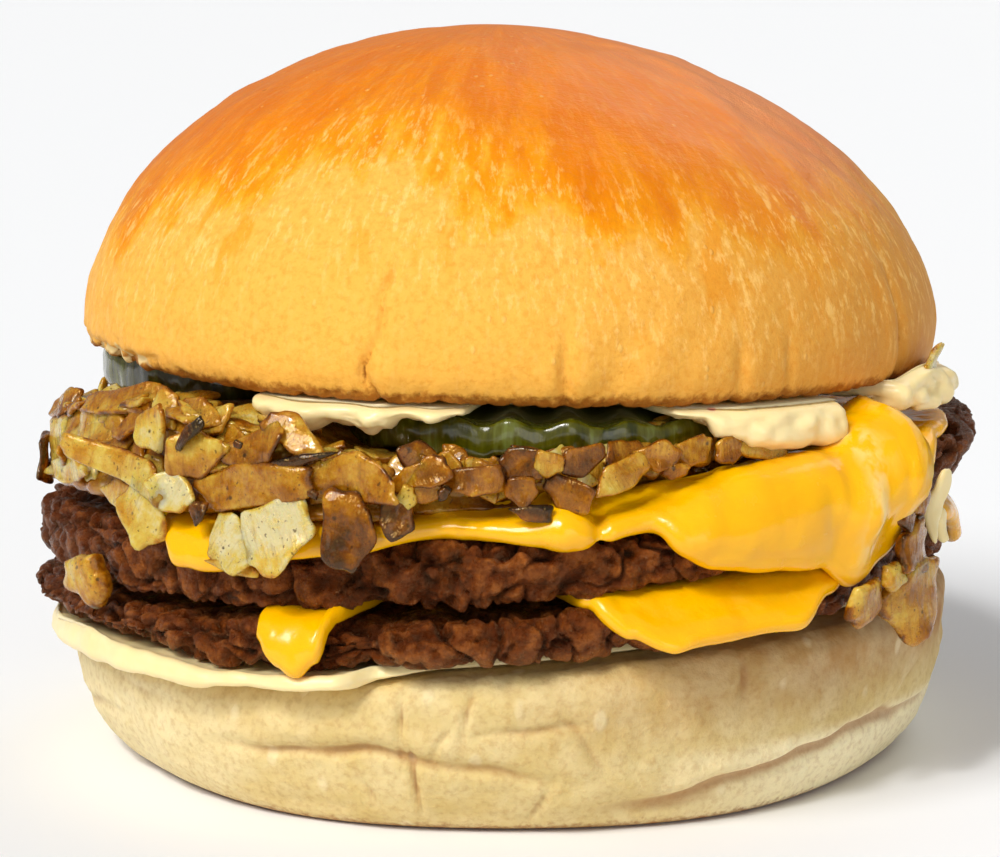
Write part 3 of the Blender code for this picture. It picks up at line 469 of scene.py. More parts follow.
def new_piece(name, grids, look, nodes, attributes=None):
    """A closed mesh of one or more grids in millimetres, which stands for CAD nodes.

    Each grid's first and last rows are single points. Rows rise and columns run round, so that faces
    turned from one column to the next and one row up point outwards.
    """
    grids = np.asarray(grids, dtype=float)
    if grids.ndim == 3:
        grids = grids[None]
    pieces, rows, count = grids.shape[:3]
    points = flattened(grids)
    column = np.arange(count)
    after = (column + 1) % count
    start = 1 + count * np.arange(rows - 3)[:, None]
    last = points.shape[1] - 1
    quads = np.stack([start + column, start + after, start + count + after, start + count + column], axis=-1)
    bottom = np.stack([0 * column, 1 + after, 1 + column], axis=-1)
    top = np.stack([last - count + column, last - count + after, last + 0 * column], axis=-1)
    shift = (last + 1) * np.arange(pieces)[:, None, None]
    faces = (quads.reshape(1, -1, 4) + shift).reshape(-1, 4).tolist()
    faces += (np.concatenate([bottom, top])[None] + shift).reshape(-1, 3).tolist()
    mesh = bpy.data.meshes.new(name)
    mesh.from_pydata(points.reshape(-1, 3) * MILLIMETRE, [], faces)
    for key, values in (attributes or {}).items():
        values = np.asarray(values)
        if values.ndim == 3 and values.shape[-1] == 3:
            layer = mesh.attributes.new(key, "FLOAT_VECTOR", "POINT")
            layer.data.foreach_set("vector", flattened(values[None]).ravel().astype(np.float32))
        else:
            layer = mesh.attributes.new(key, "FLOAT", "POINT")
            values = flattened(np.broadcast_to(values, grids.shape[:3]))
            layer.data.foreach_set("value", values.ravel().astype(np.float32))
    mesh.shade_smooth()
    mesh.materials.append(look)
    piece = bpy.data.objects.new(name, mesh)
    bpy.context.scene.collection.objects.link(piece)
    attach(piece, BODY)
    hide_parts(*nodes)
    return piece


# Shader nodes

class Graph:
    """Adds nodes to a node tree. An input is given as a value or as another node's output."""

    def __init__(self, tree):
        self.tree = tree

    def add(self, kind, inputs=None, **settings):
        made = self.tree.nodes.new(kind)
        for key, value in settings.items():
            setattr(made, key, value)
        for key, value in (inputs or {}).items():
            self.feed(made.inputs[key], value)
        return made

    def feed(self, socket, value):
        """Link an output to an input, or set the input's value."""
        if isinstance(value, bpy.types.NodeSocket):
            self.tree.links.new(value, socket)
        else:
            socket.default_value = value

    def place(self):
        """Object coordinates in millimetres."""
        coordinates = self.add("ShaderNodeTexCoord").outputs["Object"]
        return self.stretched(coordinates, (1.0 / MILLIMETRE,) * 3)

    def parts(self, vector):
        """The X, Y and Z of a vector."""
        return self.add("ShaderNodeSeparateXYZ", {"Vector": vector}).outputs

    def stretched(self, vector, scale):
        """A vector multiplied along its three axes."""
        return self.add("ShaderNodeMapping", {"Vector": vector, "Scale": scale}).outputs["Vector"]

    def attribute(self, name, output="Fac"):
        """A mask or vector that is kept on the mesh."""
        return self.add("ShaderNodeAttribute", attribute_name=name).outputs[output]

    def noise(self, vector, size, detail=4.0, roughness=0.5):
        """Cloudy noise from 0 to 1, with patches of a size in millimetres."""
        inputs = {"Vector": vector, "Scale": 1.0 / size, "Detail": detail, "Roughness": roughness}
        return self.add("ShaderNodeTexNoise", inputs).outputs["Fac"]

    def math(self, operation, first, second=0.0):
        return self.add("ShaderNodeMath", {0: first, 1: second}, operation=operation).outputs[0]

    def times(self, first, second):
        return self.math("MULTIPLY", first, second)

    def plus(self, first, second):
        return self.math("ADD", first, second)

    def minus(self, first, second):
        return self.math("SUBTRACT", first, second)

    def centred(self, value, amount):
        """A value's distance from one half, times an amount."""
        return self.times(self.minus(value, 0.5), amount)

    def range(self, value, low, high, to_low=0.0, to_high=1.0):
        """A value eased from one range to another, and held at its ends."""
        inputs = {"Value": value, "From Min": low, "From Max": high, "To Min": to_low, "To Max": to_high}
        return self.add("ShaderNodeMapRange", inputs, interpolation_type="SMOOTHSTEP").outputs["Result"]

    def blend(self, share, first, second, mode="MIX"):
        """A mix of two colours, with the share that the second has."""
        made = self.add("ShaderNodeMix", data_type="RGBA", blend_type=mode)
        self.feed(made.inputs[0], share)
        self.feed(made.inputs[6], first)
        self.feed(made.inputs[7], second)
        return made.outputs[2]

    def tinted(self, colour, share, tone):
        """A colour with a share of a tone laid over it."""
        return self.blend(share, colour, shade(tone))

    def ramp(self, value, stops):
        """A colour for a value, between (position, colour) stops."""
        made = self.add("ShaderNodeValToRGB", {"Fac": value})
        band = made.color_ramp.elements
        band[0].position = stops[0][0]
        band[1].position = stops[-1][0]
        for position, colour in stops[1:-1]:
            band.new(position)
        for stop, (position, colour) in zip(band, stops):
            stop.color = shade(colour)
        return made.outputs["Color"]

    def group(self, tree, inputs):
        """The output of a shared group."""
        made = self.add("ShaderNodeGroup", node_tree=tree)
        for key, value in inputs.items():
            self.feed(made.inputs[key], value)
        return made.outputs[0]

    def mottling(self, place, size, contrast):
        return self.group(shared_group("mottling"), {"Place": place, "Size": size, "Contrast": contrast})

    def speckles(self, place, size, share):
        return self.group(shared_group("speckles"), {"Place": place, "Size": size, "Share": share})

    def bump(self, height, distance, strength=1.0):
        inputs = {"Height": height, "Distance": distance * MILLIMETRE, "Strength": strength}
        return self.add("ShaderNodeBump", inputs).outputs["Normal"]


def shade(colour):
    """Red, green and blue with an alpha of 1."""
    return (*colour[:3], 1.0)


def linear(red, green, blue):
    """A colour given as it looks on screen, from 0 to 255, in the linear scale that shaders use."""
    values = np.array([red, green, blue]) / 255.0
    values = np.where(values <= 0.04045, values / 12.92, ((values + 0.055) / 1.055) ** 2.4)
    return tuple(float(value) for value in values)


def new_group(name, inputs, output):
    """An empty shader node group with one output. Its inputs are given as (name, socket kind, default)."""
    tree = bpy.data.node_groups.new(name, "ShaderNodeTree")
    for label, kind, default in inputs:
        socket = tree.interface.new_socket(label, in_out="INPUT", socket_type=kind)
        if default is not None:
            socket.default_value = default
    tree.interface.new_socket(output, in_out="OUTPUT", socket_type="NodeSocketFloat")
    graph = Graph(tree)
    return tree, graph, graph.add("NodeGroupInput").outputs, graph.add("NodeGroupOutput").inputs


def speckles_group():
    """Small round spots strewn over a surface: near the middles of random cells, in a share of the cells."""
    inputs = (("Place", "NodeSocketVector", None), ("Size", "NodeSocketFloat", 1.0),
              ("Share", "NodeSocketFloat", 0.3))
    tree, graph, given, out = new_group("speckles", inputs, "Mask")
    scale = graph.math("DIVIDE", 1.0, given["Size"])
    cells = graph.add("ShaderNodeTexVoronoi", {"Vector": given["Place"], "Scale": scale})
    spot = graph.range(cells.outputs["Distance"], 0.42, 0.2)
    chosen = graph.math("LESS_THAN", cells.outputs["Color"], given["Share"])
    graph.feed(out["Mask"], graph.times(spot, chosen))
    return tree


def mottling_group():
    """Soft uneven patches: a fractal noise with its middle values drawn apart by the contrast."""
    inputs = (("Place", "NodeSocketVector", None), ("Size", "NodeSocketFloat", 8.0),
              ("Contrast", "NodeSocketFloat", 0.2))
    tree, graph, given, out = new_group("mottling", inputs, "Value")
    scale = graph.math("DIVIDE", 1.0, given["Size"])
    inputs = {"Vector": given["Place"], "Scale": scale, "Detail": 5.0, "Roughness": 0.55}
    value = graph.add("ShaderNodeTexNoise", inputs).outputs["Fac"]
    low = graph.minus(0.5, given["Contrast"])
    high = graph.plus(0.5, given["Contrast"])
    graph.feed(out["Value"], graph.range(value, low, high))
    return tree


def shared_group(name):
    """A shared node group, built when it is first asked for."""
    makers = {"speckles": speckles_group, "mottling": mottling_group}
    return bpy.data.node_groups.get(name) or makers[name]()


def new_material(name, roughness=0.5):
    """An empty material, as its graph and its shader's inputs."""
    made = bpy.data.materials.new(name)
    made.use_nodes = True
    shader = made.node_tree.nodes["Principled BSDF"]
    shader.inputs["Roughness"].default_value = roughness
    return made, Graph(made.node_tree), shader.inputs


def set_scattering(shader, weight, radius, scale):
    """Light that enters a soft food and comes out again."""
    shader["Subsurface Weight"].default_value = weight
    shader["Subsurface Radius"].default_value = radius
    shader["Subsurface Scale"].default_value = scale * MILLIMETRE


def set_gloss(shader, level, tint):
    """How strongly the surface mirrors its lights, and in what tone."""
    shader["Specular IOR Level"].default_value = level
    shader["Specular Tint"].default_value = shade(tint)


def crown_look(colours):
    """Glazed crust: deep orange on top, streaked down into a golden side with pale and dark specks, a browner
    right side that is partly painted shade, and painted shade in its creases.
    """
    made, graph, shader = new_material("crown_crust")
    place = graph.place()
    level = graph.attribute("glaze")
    streaky = graph.stretched(graph.attribute("meridian", "Vector"), STREAKS)
    wander = graph.plus(graph.centred(graph.noise(streaky, 3.4, 4.0, 0.6), 2.2),
                        graph.centred(graph.noise(place, 15.0, 4.0, 0.55), 1.4))
    glaze = graph.plus(level, wander)
    colour = graph.ramp(graph.range(glaze, -1.4, 1.6), (
        (0.0, colours.crust_side), (0.32, colours.crust_side), (0.46, colours.crust_gold),
        (0.62, colours.crust_orange), (1.0, colours.crust_top)))
    fringe = graph.times(graph.range(level, -1.7, -0.5),
                         graph.range(graph.noise(streaky, 5.0, 3.0, 0.6), 0.58, 0.68, 0.0, 0.6))
    colour = graph.tinted(colour, fringe, colours.crust_orange)
    parts = graph.parts(place)
    # Browner crust on the lower right side: partly real baking, partly painted shade of the side away from
    # the key light.
    tan = graph.times(graph.range(parts["X"], 0.0, 52.0), graph.range(parts["Z"], 80.0, 62.0))
    colour = graph.tinted(colour, graph.times(tan, 0.75), colours.crust_tan)
    deep = graph.times(graph.mottling(streaky, 5.0, 0.16), graph.range(glaze, 0.1, 1.0, 0.0, 0.5))
    colour = graph.tinted(colour, deep, colours.crust_deep)
    near = graph.times(graph.range(level, -1.9, -0.6), graph.range(level, 1.0, 0.2))
    scratches = graph.range(graph.noise(streaky, 1.1, 4.0, 0.7), 0.5, 0.66)
    smear = graph.times(scratches, graph.plus(graph.times(near, 0.45), 0.12))
    colour = graph.tinted(colour, smear, colours.crust_speck)
    fine = graph.noise(place, 0.8, 3.0, 0.6)
    colour = graph.tinted(colour, graph.range(fine, 0.4, 0.75, 0.0, 0.35), colours.crust_fine)
    pale = graph.speckles(graph.stretched(place, TALL_SPOTS), 0.85, 0.12)
    colour = graph.tinted(colour, graph.times(pale, 0.3), colours.crust_speck)
    colour = graph.tinted(colour, graph.times(graph.speckles(place, 1.3, 0.02), 0.6), colours.toast)
    # This mask holds the browned cut edge and painted shade in the creases.
    toast = graph.plus(graph.attribute("toast"), graph.minus(fine, 0.5))
    colour = graph.tinted(colour, graph.range(toast, 0.35, 1.0, 0.0, 0.9), colours.toast)
    colour = graph.tinted(colour, graph.range(graph.attribute("crumb"), 0.3, 0.7), colours.crumb)
    graph.feed(shader["Base Color"], colour)
    graph.feed(shader["Roughness"], graph.range(graph.plus(glaze, fine), -0.2, 1.4, 0.6, 0.36))
    set_gloss(shader, 0.3, colours.crust_speck)
    grain = graph.plus(graph.noise(place, 0.7, 4.0, 0.65), graph.times(pale, 0.5))
    graph.feed(shader["Normal"], graph.bump(grain, 0.2, 0.7))
    set_scattering(shader, 0.1, (1.0, 0.5, 0.2), 1.0)
    return made


def heel_look(colours):
    """Pale soft crust, a little browner at its foot, with painted shade on its upper right and in its clefts,
    painted bounced light on its lower right, and dusty mottling.
    """
    made, graph, shader = new_material("heel_crust", 0.75)
    place = graph.place()
    parts = graph.parts(place)
    # Painted shade: the upper right, under the cheese and away from the key light, darkened with the tan
    # colour; partly a browner crust.
    side = graph.plus(graph.range(parts["X"], -10.0, 55.0),
                      graph.centred(graph.noise(place, 14.0, 4.0, 0.6), 0.9))
    high = graph.range(graph.minus(parts["Z"], graph.times(parts["X"], 0.06)), 7.0, 15.0)
    colour = graph.tinted(shade(colours.heel), graph.times(side, high), colours.heel_tan)
    # Painted light: the lower right, turned to the floor, paled as if lit by light bounced from it. The left
    # is paler as well.
    low = graph.times(graph.range(parts["X"], 8.0, 40.0), graph.range(parts["Z"], 10.5, 8.0))
    left = graph.range(parts["X"], -22.0, -46.0, 0.0, 0.5)
    colour = graph.tinted(colour, graph.math("MAXIMUM", low, left), colours.heel_flour)
    colour = graph.tinted(colour, graph.times(graph.mottling(place, 5.0, 0.22), 0.3), colours.heel_flour)
    fine = graph.noise(place, 0.9, 3.0, 0.6)
    colour = graph.tinted(colour, graph.range(fine, 0.4, 0.8, 0.0, 0.35), colours.heel_tan)
    pale = graph.speckles(graph.stretched(place, TALL_SPOTS), 2.4, 0.2)
    colour = graph.tinted(colour, graph.times(pale, 0.35), colours.heel_flour)
    colour = graph.tinted(colour, graph.times(graph.speckles(place, 1.7, 0.03), 0.5), colours.toast)
    foot = graph.range(graph.minus(parts["Z"], graph.times(fine, 2.4)), 0.2, -1.2)
    colour = graph.tinted(colour, graph.times(foot, 0.8), colours.toast)
    # Painted shade: the clefts darkened with the toast colour, as deep as they are.
    cleft = graph.range(graph.attribute("cleft"), 0.15, 0.8, 0.0, 0.6)
    graph.feed(shader["Base Color"], graph.tinted(colour, cleft, colours.toast))
    grain = graph.plus(graph.noise(place, 0.9, 4.0, 0.65), graph.times(pale, 0.4))
    graph.feed(shader["Normal"], graph.bump(grain, 0.25, 0.7))
    set_scattering(shader, 0.15, (1.0, 0.6, 0.3), 1.2)
    return made


def beef_look(colours):
    """Fried mince: painted shade in its clefts and pits, red-brown lumps lighter towards their tips as
    painted light, greasy lights, and greyer ends.
    """
    made, graph, shader = new_material("fried_beef")
    place = graph.place()
    # Painted shade and light: low crags darkened towards the cleft colour, raised tips lightened towards the
    # crisp colour.
    value = graph.plus(graph.times(graph.attribute("crag"), 0.85),
                       graph.centred(graph.noise(place, 1.6, 6.0, 0.68), 1.7))
    colour = graph.ramp(value, ((0.15, colours.beef_cleft), (0.45, colours.beef), (0.7, colours.beef_light),
                                (0.95, colours.beef_crisp)))
    end = graph.range(graph.math("ABSOLUTE", graph.parts(place)["X"]), 46.0, 60.0, 0.0, 0.6)
    colour = graph.tinted(colour, end, colours.beef_grey)
    colour = graph.tinted(colour, graph.times(graph.mottling(place, 3.0, 0.15), 0.35), colours.beef_red)
    graph.feed(shader["Base Color"], colour)
    graph.feed(shader["Roughness"], graph.range(graph.mottling(place, 1.3, 0.12), 0.0, 1.0, 0.14, 0.45))
    set_gloss(shader, 0.65, colours.beef_gleam)
    cells = graph.add("ShaderNodeTexVoronoi", {"Vector": place, "Scale": 0.9}).outputs["Distance"]
    grain = graph.minus(graph.noise(place, 0.9, 6.0, 0.75), graph.times(cells, 0.5))
    graph.feed(shader["Normal"], graph.bump(grain, 1.0, 1.0))
    return made


def cheese_look(colours):
    """Melted cheese: smooth, glossy, a little see-through at thin edges, with a paler skin on folds that is
    also a painted highlight on their ridges.
    """
    made, graph, shader = new_material("melted_cheese", 0.28)
    place = graph.place()
    patches = graph.times(graph.mottling(place, 7.0, 0.2), 0.45)
    colour = graph.tinted(shade(colours.cheese), patches, colours.cheese_deep)
    streaks = graph.noise(graph.stretched(place, STREAKS), 2.4, 3.0)
    # Partly a pale skin and partly a painted highlight on the raised ridges of the fold.
    skin = graph.times(graph.attribute("skin"), graph.range(streaks, 0.42, 0.58))
    graph.feed(shader["Base Color"], graph.tinted(colour, skin, colours.cheese_skin))
    fine = graph.noise(place, 2.6, 3.0, 0.5)
    graph.feed(shader["Roughness"], graph.range(fine, 0.3, 0.7, 0.12, 0.28))
    graph.feed(shader["Normal"], graph.bump(fine, 0.35, 0.4))
    set_scattering(shader, 0.2, (1.0, 0.5, 0.02), 1.2)
    return made


def sauce_look(colours):
    """Smooth creamy sauce with a few red flecks."""
    made, graph, shader = new_material("burger_sauce", 0.33)
    place = graph.place()
    patches = graph.times(graph.mottling(place, 5.0, 0.2), 0.4)
    colour = graph.tinted(shade(colours.sauce), patches, colours.sauce_deep)
    flecks = graph.times(graph.speckles(place, 1.7, 0.035), 0.7)
    graph.feed(shader["Base Color"], graph.tinted(colour, flecks, colours.pepper))
    graph.feed(shader["Normal"], graph.bump(graph.noise(place, 1.8, 3.0, 0.5), 0.25, 0.35))
    set_scattering(shader, 0.3, (1.0, 0.8, 0.5), 1.5)
    return made


def pickle_look(colours):
    """Gherkin: dark olive skin at the rim, streaked from top to bottom, round paler wet flesh."""
    made, graph, shader = new_material("gherkin", 0.2)
    streaks = graph.noise(graph.stretched(graph.place(), PICKLE_STREAKS), 1.6, 3.0, 0.6)
    colour = graph.ramp(streaks, ((0.3, colours.pickle_dark), (0.55, colours.pickle),
                                  (0.72, colours.pickle_pale)))
    flesh = graph.range(graph.attribute("flesh"), 0.2, 0.9)
    graph.feed(shader["Base Color"], graph.tinted(colour, flesh, colours.pickle_flesh))
    graph.feed(shader["Normal"], graph.bump(streaks, 0.3, 0.5))
    shader["Coat Weight"].default_value = 0.4
    set_scattering(shader, 0.4, (0.8, 1.0, 0.3), 2.0)
    return made


def onion_look(colours):
    """Fried onion: white, amber or brown by piece, veined along its length, with charred rims and specks."""
    made, graph, shader = new_material("fried_onion", 0.22)
    place = graph.place()
    uneven = graph.noise(place, 2.4, 5.0, 0.7)
    edging = graph.range(graph.noise(place, 2.6, 3.0), 0.42, 0.62, 0.0, 0.42)
    browning = graph.plus(graph.attribute("browning"), graph.times(graph.attribute("rim"), edging))
    colour = graph.ramp(graph.plus(browning, graph.centred(uneven, 1.0)), (
        (0.0, colours.onion_white), (0.2, colours.onion_yellow), (0.42, colours.onion_tan),
        (0.6, colours.onion_amber), (0.8, colours.onion_brown), (1.0, colours.onion_dark)))
    leaf = graph.add("ShaderNodeCombineXYZ", {"X": graph.attribute("vein"), "Y": graph.attribute("run")})
    veins = graph.noise(graph.stretched(leaf.outputs["Vector"], VEINS), 0.55, 3.0)
    darker = graph.range(veins, 0.54, 0.72, 0.0, 0.3)
    colour = graph.blend(darker, colour, shade(colours.onion_brown), "MULTIPLY")
    dots = graph.range(graph.noise(place, 0.5, 2.0), 0.64, 0.72, 0.0, 0.7)
    colour = graph.tinted(colour, dots, colours.onion_dark)
    burnt = graph.range(graph.plus(graph.attribute("char"), graph.centred(uneven, 1.2)), 0.5, 0.75)
    specks = graph.times(graph.speckles(place, 0.8, 0.12), 0.75)
    colour = graph.tinted(colour, graph.math("MAXIMUM", burnt, specks), colours.char)
    graph.feed(shader["Base Color"], colour)
    graph.feed(shader["Roughness"], graph.range(uneven, 0.35, 0.65, 0.1, 0.34))
    set_gloss(shader, 0.55, colours.crust_speck)
    relief = graph.plus(graph.noise(place, 1.8, 3.0, 0.5), graph.times(veins, 0.5))
    graph.feed(shader["Normal"], graph.bump(relief, 0.5, 0.9))
    shader["Coat Weight"].default_value = 0.45
    shader["Coat Roughness"].default_value = 0.08
    graph.feed(shader["Coat Normal"], graph.bump(graph.noise(place, 2.4, 2.0, 0.5), 0.4, 0.8))
    shader["Transmission Weight"].default_value = 0.2
    set_scattering(shader, 0.5, (1.0, 0.7, 0.3), 2.6)
    return made


# Shapes

def heel_grid():
    """The lower bun, turned from a profile of power curves, and how deep its clefts are, for painted shade in
    them.

    A flat base, a bulging flank, a rounded shoulder and a flat top.
    """
    azimuth = columns(600)
    widest = rising(HEEL_WIDEST)
    radius = heel_radius()
    base = around(azimuth, HEEL_BASE_RIM)
    rows = [polar(base * share, azimuth, 0.0) for share in (0.0, 0.5, 0.8, 0.93, 1.0)]
    turn = np.linspace(0.0, 0.5 * math.pi, 92)[1:, None]
    bulge = base + (radius - base) * np.sin(turn) ** (2.0 / HEEL_POWERS[0])
    rise = 1.0 - np.maximum(np.cos(turn), 0.0) ** (2.0 / HEEL_POWERS[1])
    flank = polar(bulge, azimuth, lambda x: widest(x) * rise)
    turn = np.linspace(0.0, 0.5 * math.pi, 18)[1:, None]
    shoulder = polar(radius - HEEL_SHOULDER * (1.0 - np.cos(turn)), azimuth,
                     lambda x: widest(x) + (tilted(HEEL_TOP, x) - widest(x)) * np.sin(turn))
    top = [polar(share, azimuth, rising(HEEL_TOP)) for share in (50.0, 44.0, 24.0, 0.0)]
    grid = np.concatenate([rows, flank, shoulder, top])
    height = grid[..., 2]
    dents = marks(azimuth, height + 0.9 * noise(grid, 7.0, 3), radius, HEEL_MARKS)
    swell = 0.45 * fractal(grid, 17.0, 5) + 0.12 * fractal(grid, 3.0, 8)
    free = smooth_step(0.3, 2.6, height) * smooth_step(49.0, 52.0, from_axis(grid))
    return pushed(grid, free * (dents + swell - 0.25)), np.clip(-dents, 0.0, 1.0) * free


def heel_radius():
    """Radius of the heel, from the width of its solid."""
    low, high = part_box("heel")
    return round(0.5 * (high.x - low.x) / MILLIMETRE, 1)


def crown_rings(azimuth, radius, tall):
    """The upper bun's smooth form: a cut floor, a bead round it, and a dome that leans to the left."""
    floor = rising(CROWN_FLOOR)
    rows = [polar(share, azimuth, floor) for share in (0.0, 30.0, 46.0, 50.0, CROWN_CUT_RADIUS)]
    turn = np.linspace(0.0, 0.5 * math.pi, 16)[1:-1, None]
    bead = polar(CROWN_CUT_RADIUS + (radius - CROWN_CUT_RADIUS) * np.sin(turn), azimuth,
                 lambda x: floor(x) + (CROWN_WIDEST + CROWN_TILT * x) * (1.0 - np.cos(turn)))
    turn = np.linspace(0.0, 0.5 * math.pi, 104)[:, None]
    dome = polar(radius * np.maximum(np.cos(turn), 0.0) ** (2.0 / CROWN_POWERS[0]), azimuth, 0.0)
    dome[..., 0] -= CROWN_LEAN * np.sin(turn) ** 2
    x = dome[..., 0]
    rise = CROWN_WIDEST + CROWN_TILT * x * (1.0 - np.sin(turn))
    dome[..., 2] = floor(x) + rise + (tall - CROWN_WIDEST) * np.sin(turn) ** (2.0 / CROWN_POWERS[1])
    return np.concatenate([rows, bead, dome])


def crown_grid():
    """The upper bun with its creases and its frayed edge, and masks for its glaze, its toasted edge with
    painted shade in its creases, and its crumb.
    """
    azimuth = columns(620)
    low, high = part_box("crown")
    radius = 0.5 * (high.x - low.x) / MILLIMETRE
    grid = crown_rings(azimuth, radius, high.z / MILLIMETRE - tilted(CROWN_FLOOR, -CROWN_LEAN))
    above = grid[..., 2] - tilted(CROWN_FLOOR, grid[..., 0])
    spread = from_axis(grid)
    dents = marks(azimuth + 0.42 * noise(grid, 4.0, 31), grid[..., 2], radius, CROWN_MARKS)
    frayed = 0.7 * (lumps(grid, 1.3, 33) - 0.7) * smooth_step(2.2, 0.4, above)
    swell = 0.35 * fractal(grid, 15.0, 35) + 0.07 * fractal(grid, 2.6, 37)
    turned = signed(azimuth)
    torn = smooth_step(-92.0, -80.0, turned) * smooth_step(-44.0, -58.0, turned)
    ragged = torn * smooth_step(3.2, 1.6, above + 1.2 * noise(grid, 2.6, 38))
    push = dents + swell + frayed - 0.15 + ragged * (0.9 * noise(grid, 2.2, 39) - 0.5)
    steps = np.linalg.norm(np.diff(grid[:, 0], axis=0), axis=-1)
    run = np.concatenate([[0.0], np.cumsum(steps)])[:, None]
    angle = np.radians(azimuth)
    toasted = smooth_step(2.6, 0.2, above) * smooth_step(48.0, 51.0, spread)
    # Painted shade: the grooves of the marks darkened with the toast colour, as deep as they are.
    creased = 0.9 * np.clip(-dents - 0.15, 0.0, 1.0)
    cut = smooth_step(51.4, 50.6, spread) * (above < 0.5)
    bare = 0.9 * ragged * smooth_step(-0.2, 0.3, noise(grid, 1.8, 40))
    masks = {
        "meridian": stacked(radius * np.sin(angle), radius * np.cos(angle), run),
        "glaze": (above - around(azimuth, GLAZE_EDGE)) / 9.0,
        "toast": np.maximum(toasted, creased),
        "crumb": np.maximum(cut, bare),
    }
    return pushed(grid, push * smooth_step(46.0, 51.0, spread + above)), masks


def patty_grid(rim, undercut, lifting, bottom, top, seed):
    """A patty: a disc with round corners, its rim pushed in and out by round crags of three sizes.

    Its under side is raised round the rim by the lift at each azimuth, and less towards its top.
    """
    azimuth = columns(960)
    edge = around(azimuth, rim)
    recess = around(azimuth, undercut)
    under = rising(bottom)
    over = rising(top)
    corner = PATTY_CORNER
    rows = [polar(share * (edge - corner - recess), azimuth, under) for share in PATTY_RINGS]
    turn = np.linspace(0.0, 0.5 * math.pi, 17)[:, None]
    level = corner * (1.0 - np.cos(turn))
    lower = polar(edge - corner * (1.0 - np.sin(turn)) - recess * (1.0 - 0.4 * level / corner), azimuth,
                  lambda x: under(x) + level)
    share = np.linspace(0.0, 1.0, 6)[1:-1, None]
    side = polar(edge - 0.6 * recess * (1.0 - share), azimuth,
                 lambda x: (under(x) + corner) * (1.0 - share) + (over(x) - corner) * share)
    upper = polar(edge - corner * (1.0 - np.cos(turn)), azimuth,
                  lambda x: over(x) - corner * (1.0 - np.sin(turn)))
    inwards = (edge - corner) * (1.0 - np.linspace(0.0, 1.0, 30)[1:, None] ** 1.5)
    grid = np.concatenate([rows, lower, side, upper, polar(inwards, azimuth, over)])
    spread = from_axis(grid)
    lift = smooth_step(0.85, 0.0, (grid[..., 2] - under(grid[..., 0])) / PATTY_THICKNESS)
    push, crag = crags(grid, seed)
    grid[..., 2] += around(azimuth, lifting) * lift * smooth_step(edge - 9.0, edge - 3.0, spread)
    rough = 0.4 + 0.6 * smooth_step(edge - 8.0, edge - 2.0, spread)
    return pushed(grid, push * rough), {"crag": crag}


def crags(grid, seed):
    """How far fried mince stands out, and how much of it is raised, from 0 to 1, which is painted as shade in
    its clefts and pits and as light on its tips.

    Lumps of three sizes, less pits and clefts.
    """
    warped = grid + 1.6 * np.stack([noise(grid, 5.0, seed + k) for k in range(3)], axis=-1)
    chunks = lumps(warped, 8.0, seed)
    clefts = smooth_step(0.14, 0.0, np.abs(noise(warped, 5.5, seed + 15)))
    knobs = lumps(warped, 3.2, seed + 4)
    grains = lumps(grid, 1.5, seed + 7)
    pits = smooth_step(0.2, 0.6, noise(warped, 2.6, seed + 11))
    push = (2.1 * (chunks - 0.78) + 1.3 * (knobs - 0.75) + 0.75 * (grains - 0.7) - 1.2 * pits - 0.9 * clefts
            + 0.8 * noise(grid, 12.0, seed + 9) - 0.3)
    crag = 0.25 * chunks + 0.4 * knobs + 0.4 * grains - 0.4 * pits - 0.35 * clefts
    return push, np.clip(crag, 0.0, 1.0)


def draped(azimuth, reach, offset, rim, top, steepness):
    """Points of a sheet laid over a round-edged disc, at a distance along it and an offset above it.

    The sheet runs flat to the disc's corner, bends round it until it is as steep as stated, and then
    hangs straight.
    """
    flat = rim - PATTY_CORNER
    bend = np.radians(steepness)
    turned = np.clip((reach - flat) / PATTY_CORNER, 0.0, bend)
    hung = np.maximum(reach - flat - PATTY_CORNER * bend, 0.0)
    radius = np.minimum(reach, flat) + (PATTY_CORNER + offset) * np.sin(turned) + hung * np.cos(turned)
    drop = PATTY_CORNER - (PATTY_CORNER + offset) * np.cos(turned) + hung * np.sin(turned)
    return polar(radius, azimuth, lambda x: tilted(top, x) - drop)


def cheese_grid(rim, top, reach, steepness, thickness, fold, table, seed):
    """A melted slice: the under side of a draped sheet, its round hem, and its upper side with swellings."""
    azimuth = columns(720)
    edge = around(azimuth, rim)
    end = edge - PATTY_CORNER + around(azimuth, reach)
    bend = around(azimuth, steepness)
    share = np.linspace(0.0, 1.0, 46)[:, None]
    stops = end * (1.0 - (1.0 - share) ** 1.6)
    gap = GAP + (RIM_GAP - GAP) * smooth_step(*RIM_GAP_ZONE, stops)
    under = draped(azimuth, stops, gap, edge, top, bend)
    taper = smooth_step(0.0, 7.0, end - stops) * smooth_step(*FOLD_ZONE, stops)
    over = draped(azimuth, stops, GAP + thickness + taper * around(azimuth, fold), edge, top, bend)
    turn = np.linspace(0.0, math.pi, 9)[1:-1, None]
    offset = GAP + 0.5 * thickness * (1.0 - np.cos(turn)) + (RIM_GAP - GAP) * (1.0 + np.cos(turn)) * 0.5
    hem = draped(azimuth, end + 0.5 * thickness * np.sin(turn), offset, edge, top, bend)
    grid = np.concatenate([under, hem, over[::-1]])
    outer = np.arange(len(grid))[:, None] >= len(under)
    spread = from_axis(grid)
    bumps = marks(azimuth, grid[..., 2], spread, table) * smooth_step(44.0, 50.0, spread)
    to_end = np.concatenate([end - stops, 0.0 * turn * end, (end - stops)[::-1]])
    ripple = 0.28 * fractal(grid, 6.5, seed) + 0.3 * smooth_step(3.5, 0.6, to_end)
    grid = pushed(grid, outer * (bumps + ripple))
    # The raised ridges of the fold are paled: partly a skin, partly a painted highlight.
    skin = np.clip(bumps, 0.0, 1.0) * smooth_step(36.0, 42.0, azimuth) * smooth_step(70.0, 60.0, azimuth)
    return grid, {"skin": skin}


